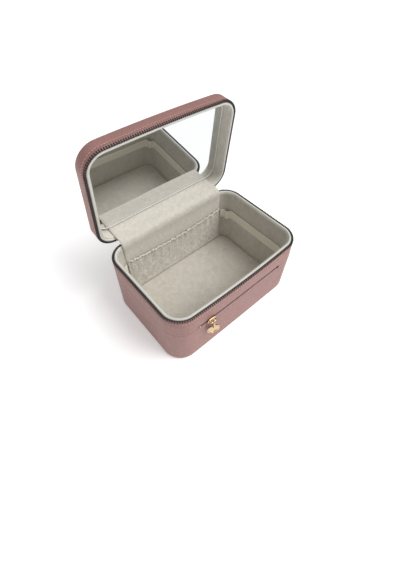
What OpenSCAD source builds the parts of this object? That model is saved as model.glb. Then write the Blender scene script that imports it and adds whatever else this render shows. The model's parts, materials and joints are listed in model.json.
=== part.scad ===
// Soft zipped vanity case with a mirror in the lid, drawn open.
// The origin is the middle of the underside, +Z up, the front towards -Y.
// Offsets called "in" are measured inwards from the outer face of the case.

/* [Case] */
// Width of the case
body_w = 210; // [206:1:240]
// Depth of the case, front to back
body_d = 142; // [120:1:170]
// Radius of the upright corners
corner_r = 25.5; // [22:0.5:27]
// Height of the base, from the floor to the edge of its zip
base_h = 90.5; // [80:0.5:120]
// Depth of the lid, from the edge of its zip to its top
lid_h = 21; // [20.5:0.5:34]
// Radius along the lower edge of the base and the upper edge of the lid
edge_r = 4; // [2:0.5:5]

/* [Walls] */
// Thickness of the leather cover
leather_t = 1.2; // [0.8:0.1:1.6]
// Thickness of the stiffening board
board_t = 1.8; // [1.4:0.1:2.4]
// Thickness of the board under the lid's top
lid_board_t = 1.4; // [1:0.1:2]
// Thickness of the lining
lining_t = 1; // [0.6:0.1:1.4]
// Distance from the outer face to the lining, at the rim
lining_in = 6.3; // [6:0.1:8]
// How much further in the lining lies at the floor than at the rim
lining_draft = 5.2; // [0:0.2:7]
// Width of the ledge of the lining under the mirror's edge
lining_ledge = 6; // [4.5:0.5:10]
// How far the lining's edge stays below the zip edge
lining_drop = 2.4; // [1.5:0.1:4]
// Thickness of the loose pad on the floor
floor_pad_t = 3; // [2:0.5:5]
// Gap round the floor pad
floor_pad_gap = 0.5; // [0.3:0.1:1.5]

/* [Zip round the rim] */
// Distance from the zip edge down to the leather edge
leather_drop = 3; // [2.6:0.1:4.5]
// How deep the tape and the collar reach into the wall
collar_depth = 12; // [8:0.5:14]
// Thickness of the tape with its turned edge
zip_tape_t = 1.6; // [1.2:0.1:1.8]
// Width of the row of teeth, across the wall
zip_coil_w = 2.4; // [2:0.1:2.6]
// Height of the row of teeth
zip_coil_h = 2.6; // [2:0.1:2.6]
// Distance from the outer face to the row of teeth
zip_coil_in = 0.2; // [0.1:0.1:0.6]
// Gap left between the two rows of teeth when the lid is shut
zip_shut_gap = 0.6; // [0.4:0.1:1.5]
// How far the zip runs along the back from each corner
zip_back_run = 4.5; // [0:0.5:12]
// How far the collar's rounded edge stays below the zip edge
collar_drop = 0.4; // [0.2:0.1:2]

/* [Lid hinge] */
// Angle at which the lid stands open
open_angle = 84.5; // [60:0.5:90]
// How far the hinge line lies behind the back of the case
hinge_out = 1.75; // [1.5:0.05:2.5]
// How far the hinge line lies below the zip edge of the base
hinge_drop = 5; // [4:0.1:6]
// Gap between the leather strip outside the hinge and each main slider
strip_gap = 1; // [0.5:0.5:10]
// Thickness of the leather strip
strip_t = 1; // [0.8:0.1:1.2]
// Length of each half of the leather strip
strip_l = 12; // [8:0.5:14]
// Distance from the zip edge to each half of the leather strip
strip_drop = 5; // [4:0.5:7]

/* [Hinge lining] */
// How far the lining flap reaches into each corner
flap_over = 3.5; // [0:0.5:5]
// Thickness of the lining flap
flap_t = 1; // [0.6:0.1:1.4]
// How far each half of the flap stays back from the zip edge
flap_drop = 3; // [2.5:0.5:6]
// How far the flap reaches down behind the back pocket
flap_down = 36; // [30:1:45]

/* [Mirror] */
// Thickness of the mirror glass
mirror_t = 2; // [1.5:0.1:3]
// Thickness of the adhesive sheet behind the glass
mirror_back_t = 0.4; // [0.2:0.1:1]
// Gap between the mirror and the lining at the sides and the top
mirror_gap = 0.7; // [0.4:0.1:3]
// Gap between the mirror and the lining at the hinge side
mirror_hinge_gap = 4.2; // [2:0.1:8]

/* [Back pocket] */
// How much of the flap shows at each side of the gathered pocket
pocket_side = 1; // [1:0.5:15]
// Distance from the rim down to the pocket's hem, at its ends
pocket_drop = 27.5; // [22:0.5:45]
// How much lower the hem hangs in the middle
pocket_sag = 5; // [0:0.5:10]
// Thickness of the pocket with its gathers at the hem
pocket_top_t = 2.6; // [2:0.1:5]
// Thickness of the pocket at the floor
pocket_foot_t = 2.5; // [1.5:0.1:5]
// Depth of the gathers
gather_depth = 1.1; // [0.4:0.1:1.8]
// Number of gathers across the pocket
gather_count = 14; // [6:1:24]
// Radius of the elastic hem
hem_r = 1.7; // [1.2:0.1:2.4]

/* [Elastic band] */
// Width of the elastic band that runs round the inside
elastic_h = 15; // [8:0.5:25]
// Thickness of the elastic band
elastic_t = 1; // [0.6:0.1:1.5]
// Distance from the rim down to the middle of the band
elastic_drop = 38; // [32:0.5:52]
// How far the slack of the band stands off the wall
slack_out = 5; // [2:0.5:8]
// Length of each slack stretch of the band
slack_l = 15; // [8:0.5:18]

/* [Front pocket] */
// Length of the pocket zip
front_zip_l = 137; // [80:1:150]
// Distance of the pocket zip's middle from the middle of the front
front_zip_x = -3.5; // [-5:0.5:5]
// Depth of the pocket zip below the rim
front_zip_drop = 29; // [24:0.5:36]
// Gap between the teeth and each edge of the slot in the leather
front_slot_clear = 0.1; // [0.1:0.05:0.5]
// Height of the pocket zip's two tapes together
front_tape_h = 16; // [12:0.5:18]
// Thickness of the pocket zip's tape
front_tape_t = 0.6; // [0.4:0.1:0.8]
// Height of one row of the pocket zip's teeth
front_teeth_h = 0.9; // [0.7:0.1:1.4]
// How far the pocket zip's teeth stand out of the leather
front_teeth_out = 0.3; // [0.1:0.1:0.6]
// Slit between the two rows, in which the slider runs
front_slit = 0.6; // [0.5:0.1:1.2]
// Width of the stop at each end of the pocket zip
front_stop_w = 2; // [1:0.1:3]
// Height of the bag behind the front
front_bag_h = 56; // [30:1:58]
// Extra length of the tape and the bag beyond each end of the zip
front_bag_more = 5; // [3:0.5:8]

/* [Pocket slider and pull] */
// Length of the slider
slider_l = 12; // [9:0.5:15]
// Height of the slider
slider_h = 8; // [7:0.1:10]
// Thickness of each plate of the slider
slider_plate_t = 1.2; // [0.8:0.1:1.5]
// Clearance between the slider and what it runs on
slider_clear = 0.3; // [0.2:0.05:0.5]
// Thickness of the post that joins the slider's plates
slider_post_t = 0.3; // [0.2:0.05:0.4]
// Gap between the slider and the stop that it rests at
slider_park = 10; // [2:0.5:14]
// Radius of the slider's bridge wire
bridge_r = 0.8; // [0.6:0.1:1]
// Clear length under the slider's bridge
bridge_l = 6.4; // [5:0.1:7]
// Radius of the link's wire
link_r = 0.7; // [0.5:0.05:0.9]
// Gap between the link and what it hangs on or carries
link_clear = 0.5; // [0.3:0.05:0.6]
// Distance between the centres of the link's two bends
link_l = 9.5; // [8:0.5:18]
// Angle by which the link and the round pull hang turned from the front
pull_turn = 20; // [0:1:20]
// Radius of the round pull
disc_r = 8; // [7:0.25:11]
// Thickness of the round pull
disc_t = 1.4; // [1:0.1:1.5]
// Width of the raised rim of the round pull
disc_rim_w = 1.3; // [0.8:0.1:2]
// Height of the raised rim of the round pull
disc_rim_h = 0.3; // [0.1:0.05:0.35]
// Wall left above the hole in the round pull
disc_lug = 1.5; // [1.2:0.1:3]

/* [Main sliders] */
// Length of a main slider, along the zip
main_l = 11; // [8:0.5:12]
// Half the height of a main slider, across the zip
main_half_h = 2.8; // [2.4:0.1:2.8]
// Thickness of each plate of a main slider
main_plate_t = 0.9; // [0.7:0.1:1.2]
// Gap between the plates of a main slider
main_channel = 3; // [2.8:0.1:3.4]
// Gap between a main slider and the end of the zip
main_end_gap = 0.6; // [0.4:0.1:2]
// Distance of a main slider's bridge from its outer plate
main_bridge_out = 2.1; // [2:0.1:2.6]
// Length of a main pull
main_pull_l = 18; // [12:0.5:24]
// Width of a main pull
main_pull_w = 5.6; // [4:0.1:6]
// Thickness of a main pull
main_pull_t = 1.4; // [1:0.1:1.8]

/* [Hidden] */
$fn = 48;

// The case's plan
half_w = body_w / 2;
half_d = body_d / 2;
corner_x = half_w - corner_r;
corner_y = half_d - corner_r;

// Levels in the base
rim_z = base_h;
hem_end_z = rim_z - pocket_drop;
elastic_z = rim_z - elastic_drop;
board_top = rim_z - collar_depth;
floor_z = leather_t + board_t;
pad_z = floor_z + lining_t;
pad_top = pad_z + floor_pad_t;

// The wall from outside to inside
board_in = leather_t + board_t;
tape_in = leather_t;
collar_in = tape_in + zip_tape_t;
face_in = lining_in + lining_t;

// The lid is drawn shut, its rim just above the base's, and turned open
lid_z = rim_z + zip_shut_gap;
lid_top = lid_z + lid_h;
lid_plate_z = lid_top - leather_t - lid_board_t;
glass_z = lid_plate_z - mirror_back_t - mirror_t;
hinge_y = half_d + hinge_out;
hinge_z = rim_z - hinge_drop;

// A slab under a carried wall closes a tub's floor. Its corners stay inside the wall's rounding
slab_in = 0.75 * corner_r;
band_in = 0.9 * corner_r;

// How far cutting shapes overrun, and the clearances of the soft pieces
cut = 1;
bag_clear = 0.3;
pocket_clear = 0.05;
band_clear = 0.1;
flap_clear = 0.1;

// The front pocket
front_zip_z = rim_z - front_zip_drop;
front_slot_h = front_slit + 2 * front_teeth_h + 2 * front_slot_clear;
front_x0 = front_zip_x - front_zip_l / 2 - front_bag_more;
front_x1 = front_zip_x + front_zip_l / 2 + front_bag_more;
teeth_l = front_zip_l - 2 * front_stop_w;
bag_z0 = front_zip_z + front_tape_h / 2 - front_bag_h;
bag_y = -half_d + leather_t + front_tape_t;
bag_t = board_t - front_tape_t;

// The mirror is glued to the lid inside a ledge of the lining
mirror_in = face_in + mirror_gap;
mirror_r = corner_r - mirror_in;
ledge_in = face_in + lining_ledge;

// The pocket slider and what hangs from it
slider_x = front_zip_x - teeth_l / 2 + slider_park + slider_l / 2;
plate_y = -half_d - front_teeth_out - slider_clear;
inner_plate_y = bag_y + slider_clear;
inner_plate_t = bag_t - 2 * slider_clear;
link_bend = bridge_r + link_clear + link_r;
pull_out = link_bend + link_r + slider_clear;
pull_y = plate_y - slider_plate_t - pull_out;
hole_z = front_zip_z - link_l - link_bend;
hole_r = link_r + 2 * link_clear;
disc_z = hole_z - (disc_r - disc_lug - hole_r);

// The zip leaves the hinge free. The main sliders are parked past its ends, the leather strip between them
zip_back_gap = 2 * (corner_x - zip_back_run);
main_x = zip_back_gap / 2 - main_end_gap - main_l / 2;
strip_w = 2 * main_x - main_l - 2 * strip_gap;
main_mid_y = half_d - zip_coil_in - zip_coil_w / 2;
main_mid_z = rim_z + zip_shut_gap / 2;
main_post_r = 0.9;
main_bridge_r = 0.7;
main_clear_l = main_pull_w + 0.8;
main_eye_clear = 0.3;
main_eye_r = main_bridge_r + main_eye_clear + 0.8;
main_bar = [main_mid_y + main_channel / 2 + main_plate_t + main_bridge_out - hinge_y, main_mid_z - hinge_z];
main_pull_y = hinge_y + main_bar[0] * cos(open_angle / 2) + main_bar[1] * sin(open_angle / 2);
main_pull_z = hinge_z - main_bar[0] * sin(open_angle / 2) + main_bar[1] * cos(open_angle / 2);

// The flap reaches into the corners, where it stands off the lining
flap_w = 2 * (corner_x + flap_over);
flap_corner_r = corner_r - face_at(rim_z - flap_down);
flap_off = flap_corner_r - sqrt(pow(flap_corner_r, 2) - pow(flap_over, 2)) + flap_clear;

// The gathered pocket is a grid of points, 5 columns to a gather. Its hem has rings of 8 points
pocket_w = flap_w - 2 * pocket_side;
pocket_cols = 5 * gather_count;
pocket_rows = 6;
hem_rings = 24;

// Colours
leather_colour = [0.68, 0.48, 0.46];
lining_colour = [0.82, 0.80, 0.74];
collar_colour = [0.80, 0.81, 0.76];
zip_colour = [0.12, 0.10, 0.10];
gold_colour = [0.83, 0.66, 0.36];
board_colour = [0.55, 0.47, 0.38];
foam_colour = [0.90, 0.90, 0.86];

// How far in the lining's inner face lies at height z
function face_at(z) = face_in + lining_draft * (board_top - min(z, board_top)) / (board_top - floor_z);

// A quarter turn of radius r about c, from angle a0, as points
function arc(c, r, a0, a1, n = 6) =
  [for (i = [0:n], a = [a0 + (a1 - a0) * i / n]) c + r * [cos(a), sin(a)]];

// A profile in the XZ plane, carried along -Y from y over a length
module straight(points, y, length) {
  translate([0, y, 0]) rotate([90, 0, 0]) linear_extrude(length) polygon(points);
}

// Carries a profile of [in, z] points round the case, leaving "gap" open in the middle of the back
module around(points, gap = 0) {
  turned = [for (p = points) [corner_r - p[0], p[1]]];
  side = [for (p = points) [half_w - p[0], p[1]]];
  end = [for (p = points) [half_d - p[0], p[1]]];
  for (c = [[1, 1, 0], [-1, 1, 90], [-1, -1, 180], [1, -1, 270]])
    translate([c[0] * corner_x, c[1] * corner_y, 0]) rotate([0, 0, c[2]])
      rotate_extrude(angle = 90, $fn = 96) polygon(turned);
  for (a = [0, 180]) rotate([0, 0, a]) straight(side, corner_y, 2 * corner_y);
  rotate([0, 0, -90]) straight(end, corner_x, 2 * corner_x);
  if (gap == 0)
    rotate([0, 0, 90]) straight(end, corner_x, 2 * corner_x);
  else
    for (s = [0, 1]) mirror([s, 0, 0]) rotate([0, 0, 90]) straight(end, -gap / 2, corner_x - gap / 2);
}

// A flat slab inside the carried ring, between two heights
module slab(in, z0, z1) {
  translate([-half_w + in, -half_d + in, z0]) cube([body_w - 2 * in, body_d - 2 * in, z1 - z0]);
}

// A plate with round corners, from lo to hi, between two heights
module round_plate(lo, hi, r, z0, z1) {
  translate([0, 0, z0]) linear_extrude(z1 - z0) {
    translate([lo[0] + r, lo[1]]) square([hi[0] - lo[0] - 2 * r, hi[1] - lo[1]]);
    translate([lo[0], lo[1] + r]) square([hi[0] - lo[0], hi[1] - lo[1] - 2 * r]);
    for (x = [lo[0] + r, hi[0] - r], y = [lo[1] + r, hi[1] - r]) translate([x, y]) circle(r);
  }
}

// Turns a shut lid piece about the hinge line, by a share of the opening
module opened(share = 1) {
  translate([0, hinge_y, hinge_z]) rotate([-open_angle * share, 0, 0])
    translate([0, -hinge_y, -hinge_z]) children();
}

// A tub's profile: outer face at a, inner face at b, a floor of thickness t on z0, its wall ending at z1.
// The outer edge is rounded by r. The inner edge is either rounded with it or sharp
function tub(a, b, r, z0, t, z1, rounded) = concat(
  [[a, z1]], arc([a + r, z0 + r], r, 180, 270), [[band_in, z0], [band_in, z0 + t]],
  rounded ? arc([a + r, z0 + r], r - t, 270, 180) : [[b, z0 + t]], [[b, z1]]);

// A lid's profile is worked out from its top downwards
function from_top(points) = [for (p = points) [p[0], lid_top - p[1]]];

function box_profile(a, b, z0, z1) = [[a, z0], [b, z0], [b, z1], [a, z1]];

// The collar ends in a half round at z1
function collar_profile(z0, z1) = let (r = (lining_in - collar_in) / 2, m = collar_in + r, up = sign(z1 - z0))
  concat([[collar_in, z0]], [for (i = [0:10]) [m - r * cos(18 * i), z1 - up * r * (1 - sin(18 * i))]],
    [[lining_in, z0]]);

// The row of teeth is a bead with bevelled edges, from its foot at z0 to z1
function bead_profile(z0, z1) = let (a = zip_coil_in, b = a + zip_coil_w, k = (z1 - z0) / 4)
  [[a + abs(k), z0], [a, z0 + k], [a, z1 - k], [a + abs(k), z1], [b - abs(k), z1], [b, z1 - k], [b, z0]];

module base_cover() color(leather_colour) difference() {
  union() {
    around(tub(0, leather_t, edge_r, 0, leather_t, rim_z - leather_drop, true));
    slab(slab_in, 0, leather_t);
  }
  translate([front_zip_x - front_zip_l / 2, -half_d - cut, front_zip_z - front_slot_h / 2])
    cube([front_zip_l, leather_t + 2 * cut, front_slot_h]);
}

// The front wall of the board has a window for the pocket's bag
module base_board() color(board_colour) difference() {
  union() {
    around(tub(leather_t, board_in, edge_r - leather_t, leather_t, board_t, board_top, false));
    slab(slab_in, leather_t, floor_z);
  }
  translate([front_x0 - bag_clear, -half_d + leather_t - cut / 2, bag_z0 - bag_clear])
    cube([front_x1 - front_x0 + 2 * bag_clear, board_t + cut, front_bag_h + 2 * bag_clear]);
}

// Padding fills the wedge between the board and the lining
module base_foam() color(foam_colour)
  around([[board_in, floor_z], [board_in, board_top], [lining_in, board_top],
    [face_at(floor_z) - lining_t, floor_z]]);

module base_lining() color(lining_colour) {
  around([[lining_in, rim_z - lining_drop], [lining_in, board_top], [face_at(floor_z) - lining_t, floor_z],
    [band_in, floor_z], [band_in, pad_z], [face_at(pad_z), pad_z],
    [face_in, board_top], [face_in, rim_z - lining_drop]]);
  slab(slab_in, floor_z, pad_z);
}

module floor_pad() color(lining_colour) {
  in = face_at(pad_z) + floor_pad_gap;
  round_plate([-half_w + in, -half_d + in], [half_w - in, half_d - in], corner_r - in, pad_z, pad_top);
}

module base_collar() color(collar_colour)
  around(collar_profile(board_top, rim_z - collar_drop), zip_back_gap);

module base_zip_tape() color(zip_colour)
  around(box_profile(tape_in, collar_in, board_top, rim_z - zip_coil_h), zip_back_gap);

module base_zip_teeth() color(zip_colour)
  around(bead_profile(rim_z - zip_coil_h, rim_z), zip_back_gap);

module base_hinge_strip() color(leather_colour)
  translate([-strip_w / 2, half_d, rim_z - strip_drop - strip_l]) cube([strip_w, strip_t, strip_l]);

// The flap lies on the slanting lining at the back
module base_hinge_lining() color(lining_colour) {
  back = [for (z = [rim_z - flap_down, board_top, rim_z - flap_drop]) [half_d - face_at(z) - flap_off, z]];
  translate([-flap_w / 2, 0, 0]) rotate([90, 0, 90]) linear_extrude(flap_w)
    polygon(concat(back, [for (i = [2, 1, 0]) back[i] - [flap_t, 0]]));
}

// The pocket lies on the flap and the lining. Its hem sags, and its gathers fade towards the floor
function hem_z(u) = hem_end_z - pocket_sag * sin(180 * u);
function pocket_z(u, v) = pad_top + (hem_z(u) - pad_top) * v;
function gather(u, v) = gather_depth * v * v * (1 - cos(360 * gather_count * u + 50 * sin(720 * u))) / 2;
function pocket_rear(u, v) = let (z = pocket_z(u, v))
  [pocket_w * (u - 0.5), half_d - face_at(z) - flap_off - flap_t - pocket_clear, z];
function pocket_front(u, v) = pocket_rear(u, v)
  - [0, pocket_foot_t + (pocket_top_t - pocket_foot_t) * v + gather(u, v), 0];

// A closed solid between two grids of the same size, the first one facing the viewer at the front
module between(front, rear, n, m) {
  k = n * m;
  quads = concat(
    [for (j = [0:m - 2], i = [0:n - 2]) [j * n + i, j * n + i + 1, (j + 1) * n + i + 1, (j + 1) * n + i]],
    [for (j = [0:m - 2], i = [0:n - 2])
      [k + j * n + i, k + (j + 1) * n + i, k + (j + 1) * n + i + 1, k + j * n + i + 1]],
    [for (i = [0:n - 2]) [i, k + i, k + i + 1, i + 1]],
    [for (i = [0:n - 2], a = [(m - 1) * n]) [a + i, a + i + 1, k + a + i + 1, k + a + i]],
    [for (j = [0:m - 2]) [j * n, (j + 1) * n, k + (j + 1) * n, k + j * n]],
    [for (j = [1:m - 1]) [j * n - 1, k + j * n - 1, k + (j + 1) * n - 1, (j + 1) * n - 1]]);
  polyhedron(concat(front, rear), [for (q = quads, t = [[0, 2, 1], [0, 3, 2]]) [for (i = t) q[i]]]);
}

module back_pocket() color(lining_colour) between(
  [for (j = [0:pocket_rows], i = [0:pocket_cols]) pocket_front(i / pocket_cols, j / pocket_rows)],
  [for (j = [0:pocket_rows], i = [0:pocket_cols]) pocket_rear(i / pocket_cols, j / pocket_rows)],
  pocket_cols + 1, pocket_rows + 1);

// The hem is a tube of 8 sides along the pocket's upper edge
hem_up = hem_r * cos(22.5) + pocket_clear;
function hem_ring(u) = let (c = pocket_rear(u, 1) + [0, -hem_r, hem_up])
  [for (j = [0:7]) c + hem_r * [0, cos(45 * j + 22.5), sin(45 * j + 22.5)]];

module back_pocket_hem() color(lining_colour) polyhedron(
  [for (i = [0:hem_rings], p = hem_ring(i / hem_rings)) p],
  concat(
    [for (i = [0:hem_rings - 1], j = [0:7], a = [8 * i + j], b = [8 * i + (j + 1) % 8])
      each [[a, b + 8, b], [a, a + 8, b + 8]]],
    [for (j = [1:6]) [0, j, j + 1]],
    [for (j = [1:6], e = [8 * hem_rings]) [e, e + j + 1, e + j]]));

// The band follows the lining at its lower edge. Half of it is worked out and mirrored
band_inset = face_at(elastic_z - elastic_h / 2) + band_clear;
band_r = corner_r - band_inset;
band_start = 72;
band_a = band_r * band_start * PI / 180;
band_b = band_a + 2 * corner_y;
band_c = band_b + band_r * PI / 2;

// The distance that the band stands off at a length s from its end, near each corner
function slack(s) = let (d = min(abs(s - 0.62 * band_a), abs(s - (band_b + band_c) / 2)) / slack_l)
  d < 0.5 ? slack_out * pow(cos(180 * d), 2) : 0;
function turn(c, a) = [c + band_r * [cos(a), sin(a)], -[cos(a), sin(a)]];
function band_at(s) =
  s < band_a ? turn([corner_x, corner_y], band_start * (1 - s / band_a))
  : s < band_b ? [[corner_x + band_r, corner_y - (s - band_a)], [-1, 0]]
  : s < band_c ? turn([corner_x, -corner_y], -90 * (s - band_b) / (band_c - band_b))
  : [[corner_x - (s - band_c), -corner_y - band_r], [0, 1]];
function band_point(s, out) = let (p = band_at(s)) p[0] + p[1] * (slack(s) + out);
band_stops = concat([for (i = [0:18]) i * band_a / 18], [for (i = [1:4]) band_a + i],
  [for (i = [0:20]) band_b + (band_c - band_b) * i / 20], [band_c + corner_x + cut]);

module elastic_band() color(lining_colour) for (s = [0, 1]) mirror([s, 0, 0])
  translate([0, 0, elastic_z - elastic_h / 2]) linear_extrude(elastic_h) polygon(concat(
    [for (t = band_stops) band_point(t, 0)],
    [for (i = [len(band_stops) - 1:-1:0]) band_point(band_stops[i], elastic_t)]));

// The pocket zip lies in the slot of the front. Its two halves leave a slit for the slider's post
module front_zip_tape() color(zip_colour) for (s = [0, 1])
  translate([0, 0, front_zip_z]) mirror([0, 0, s]) translate([front_x0, -half_d + leather_t, front_slit / 2])
    cube([front_x1 - front_x0, front_tape_t, (front_tape_h - front_slit) / 2]);

module front_zip_teeth() color(zip_colour) for (s = [0, 1])
  translate([0, 0, front_zip_z]) mirror([0, 0, s])
    translate([front_zip_x - teeth_l / 2, -half_d - front_teeth_out, front_slit / 2])
      cube([teeth_l, leather_t + front_teeth_out, front_teeth_h]);

module front_zip_stops() color(zip_colour) for (s = [-1, 1])
  translate([front_zip_x + s * (teeth_l + front_stop_w) / 2, -half_d + (leather_t - front_teeth_out) / 2,
    front_zip_z])
    cube([front_stop_w, leather_t + front_teeth_out, front_slit + 2 * front_teeth_h], center = true);

// The bag hangs flat behind the tapes, open along the slit
module front_pocket_bag() color(lining_colour) difference() {
  translate([front_x0, bag_y, bag_z0]) cube([front_x1 - front_x0, bag_t, front_bag_h]);
  translate([front_x0 - cut, bag_y - cut, front_zip_z - slider_h / 2 - slider_clear])
    cube([front_x1 - front_x0 + 2 * cut, bag_t + 2 * cut, slider_h + 2 * slider_clear]);
}

module lid_cover() color(leather_colour) opened() {
  around(from_top(tub(0, leather_t, edge_r, 0, leather_t, lid_h - leather_drop, true)));
  slab(slab_in, lid_top - leather_t, lid_top);
}

module lid_board() color(board_colour) opened() {
  around(from_top(tub(leather_t, board_in, edge_r - leather_t, leather_t, lid_board_t,
    lid_h - collar_depth, false)));
  slab(slab_in, lid_plate_z, lid_top - leather_t);
}

module lid_foam() color(foam_colour) opened()
  around(box_profile(board_in, lining_in, lid_z + collar_depth, lid_plate_z));

// The lining turns in under the mirror's edge
module lid_lining() color(lining_colour) opened()
  around([[lining_in, lid_z + lining_drop], [lining_in, lid_plate_z], [ledge_in, lid_plate_z],
    [ledge_in, glass_z + mirror_t], [face_in, glass_z + mirror_t], [face_in, lid_z + lining_drop]]);

module lid_collar() color(collar_colour) opened()
  around(collar_profile(lid_z + collar_depth, lid_z + collar_drop), zip_back_gap);

module lid_zip_tape() color(zip_colour) opened()
  around(box_profile(tape_in, collar_in, lid_z + zip_coil_h, lid_z + collar_depth), zip_back_gap);

module lid_zip_teeth() color(zip_colour) opened()
  around(bead_profile(lid_z + zip_coil_h, lid_z), zip_back_gap);

module lid_hinge_strip() color(leather_colour) opened()
  translate([-strip_w / 2, half_d, lid_z + strip_drop]) cube([strip_w, strip_t, strip_l]);

module lid_hinge_lining() color(lining_colour) opened()
  translate([-flap_w / 2, half_d - face_in - flap_off - flap_t, lid_z + flap_drop])
    cube([flap_w, flap_t, glass_z + mirror_t - lid_z - flap_drop]);

module mirror_glass() color([0.80, 0.84, 0.84]) opened()
  round_plate([-half_w + mirror_in, -half_d + mirror_in],
    [half_w - mirror_in, half_d - face_in - mirror_hinge_gap], mirror_r, glass_z, glass_z + mirror_t);

module mirror_backing() color(board_colour) opened()
  round_plate([-half_w + ledge_in, -half_d + ledge_in], [half_w - ledge_in, half_d - ledge_in],
    corner_r - ledge_in, glass_z + mirror_t, lid_plate_z);

// A wire bridge on a slider: a bar along X and two legs that end a little inside the plate, "out" away
module bridge(out, clear_l, r) {
  rotate([0, 90, 0]) cylinder(r = r, h = clear_l + 2 * r, center = true);
  for (s = [-1, 1]) translate([s * (clear_l / 2 + r), 0, 0]) {
    sphere(r = r);
    rotate([90, 0, 0]) cylinder(r = r, h = out + r / 2);
  }
}

// The slider has a plate on each side of the zip and a thin post in the slit
module pocket_slider() color(gold_colour) translate([slider_x, 0, front_zip_z]) {
  translate([-slider_l / 2, plate_y - slider_plate_t, -slider_h / 2])
    cube([slider_l, slider_plate_t, slider_h]);
  translate([-slider_l / 2, inner_plate_y, -slider_h / 2]) cube([slider_l, inner_plate_t, slider_h]);
  translate([-slider_l / 6, plate_y - slider_plate_t / 2, -slider_post_t / 2])
    cube([slider_l / 3, inner_plate_y - plate_y + (slider_plate_t + inner_plate_t) / 2, slider_post_t]);
  translate([0, pull_y, 0]) mirror([0, 1, 0]) bridge(pull_out, bridge_l, bridge_r);
}

// What hangs from the slider is turned about the upright through the bridge's middle
module hung() {
  translate([slider_x, pull_y, 0]) rotate([0, 0, -pull_turn]) children();
}

// The link is a long ring of wire, square to the round pull
module pull_link() color(gold_colour) hung() translate([0, 0, front_zip_z]) rotate([90, 0, 90]) {
  for (s = [-1, 1]) translate([s * link_bend, 0, 0]) rotate([90, 0, 0]) cylinder(r = link_r, h = link_l);
  rotate_extrude(angle = 180) translate([link_bend, 0]) circle(link_r);
  translate([0, -link_l, 0]) rotate([0, 0, 180]) rotate_extrude(angle = 180)
    translate([link_bend, 0]) circle(link_r);
}

// The pull is a plain disc with a raised rim and a hole near its edge
module pull_disc() color(gold_colour) hung() difference() {
  translate([0, 0, disc_z]) rotate([90, 0, 0]) {
    cylinder(r = disc_r, h = disc_t, center = true);
    difference() {
      cylinder(r = disc_r, h = disc_t / 2 + disc_rim_h);
      translate([0, 0, -cut]) cylinder(r = disc_r - disc_rim_w, h = disc_t + disc_rim_h + 2 * cut);
    }
  }
  translate([0, 0, hole_z]) rotate([90, 0, 0])
    cylinder(r = hole_r, h = disc_t + 2 * cut, center = true);
}

// A main slider is parked where its zip ends, turned half as far as the lid
module main_slider(side) color(gold_colour) opened(0.5) translate([side * main_x, main_mid_y, main_mid_z]) {
  for (s = [0, 1]) mirror([0, s, 0]) translate([-main_l / 2, main_channel / 2, -main_half_h])
    cube([main_l, main_plate_t, 2 * main_half_h]);
  rotate([90, 0, 0]) cylinder(r = main_post_r, h = main_channel + main_plate_t, center = true);
  translate([0, main_channel / 2 + main_plate_t + main_bridge_out, 0])
    bridge(main_bridge_out, main_clear_l, main_bridge_r);
}

// A main pull hangs from its slider's bridge
module main_pull(side) color(gold_colour)
  translate([side * main_x, main_pull_y, main_pull_z]) difference() {
  union() {
    rotate([0, 90, 0]) cylinder(r = main_eye_r, h = main_pull_w, center = true);
    translate([-main_pull_w / 2, -main_pull_t / 2, -main_pull_l])
      cube([main_pull_w, main_pull_t, main_pull_l]);
    translate([0, 0, -main_pull_l]) rotate([90, 0, 0])
      cylinder(r = main_pull_w / 2, h = main_pull_t, center = true);
  }
  rotate([0, 90, 0]) cylinder(r = main_bridge_r + main_eye_clear, h = main_pull_w + 2 * cut, center = true);
}

module main_slider_left() main_slider(-1);
module main_slider_right() main_slider(1);
module main_pull_left() main_pull(-1);
module main_pull_right() main_pull(1);

base_cover();
base_board();
base_foam();
base_lining();
floor_pad();
base_collar();
base_zip_tape();
base_zip_teeth();
base_hinge_strip();
base_hinge_lining();
back_pocket();
back_pocket_hem();
elastic_band();
front_zip_tape();
front_zip_teeth();
front_zip_stops();
front_pocket_bag();
lid_cover();
lid_board();
lid_foam();
lid_lining();
lid_collar();
lid_zip_tape();
lid_zip_teeth();
lid_hinge_strip();
lid_hinge_lining();
mirror_glass();
mirror_backing();
pocket_slider();
pull_link();
pull_disc();
main_slider_left();
main_slider_right();
main_pull_left();
main_pull_right();
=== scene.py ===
import json
import math

import bpy
import numpy as np
from mathutils import Matrix, Vector

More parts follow.
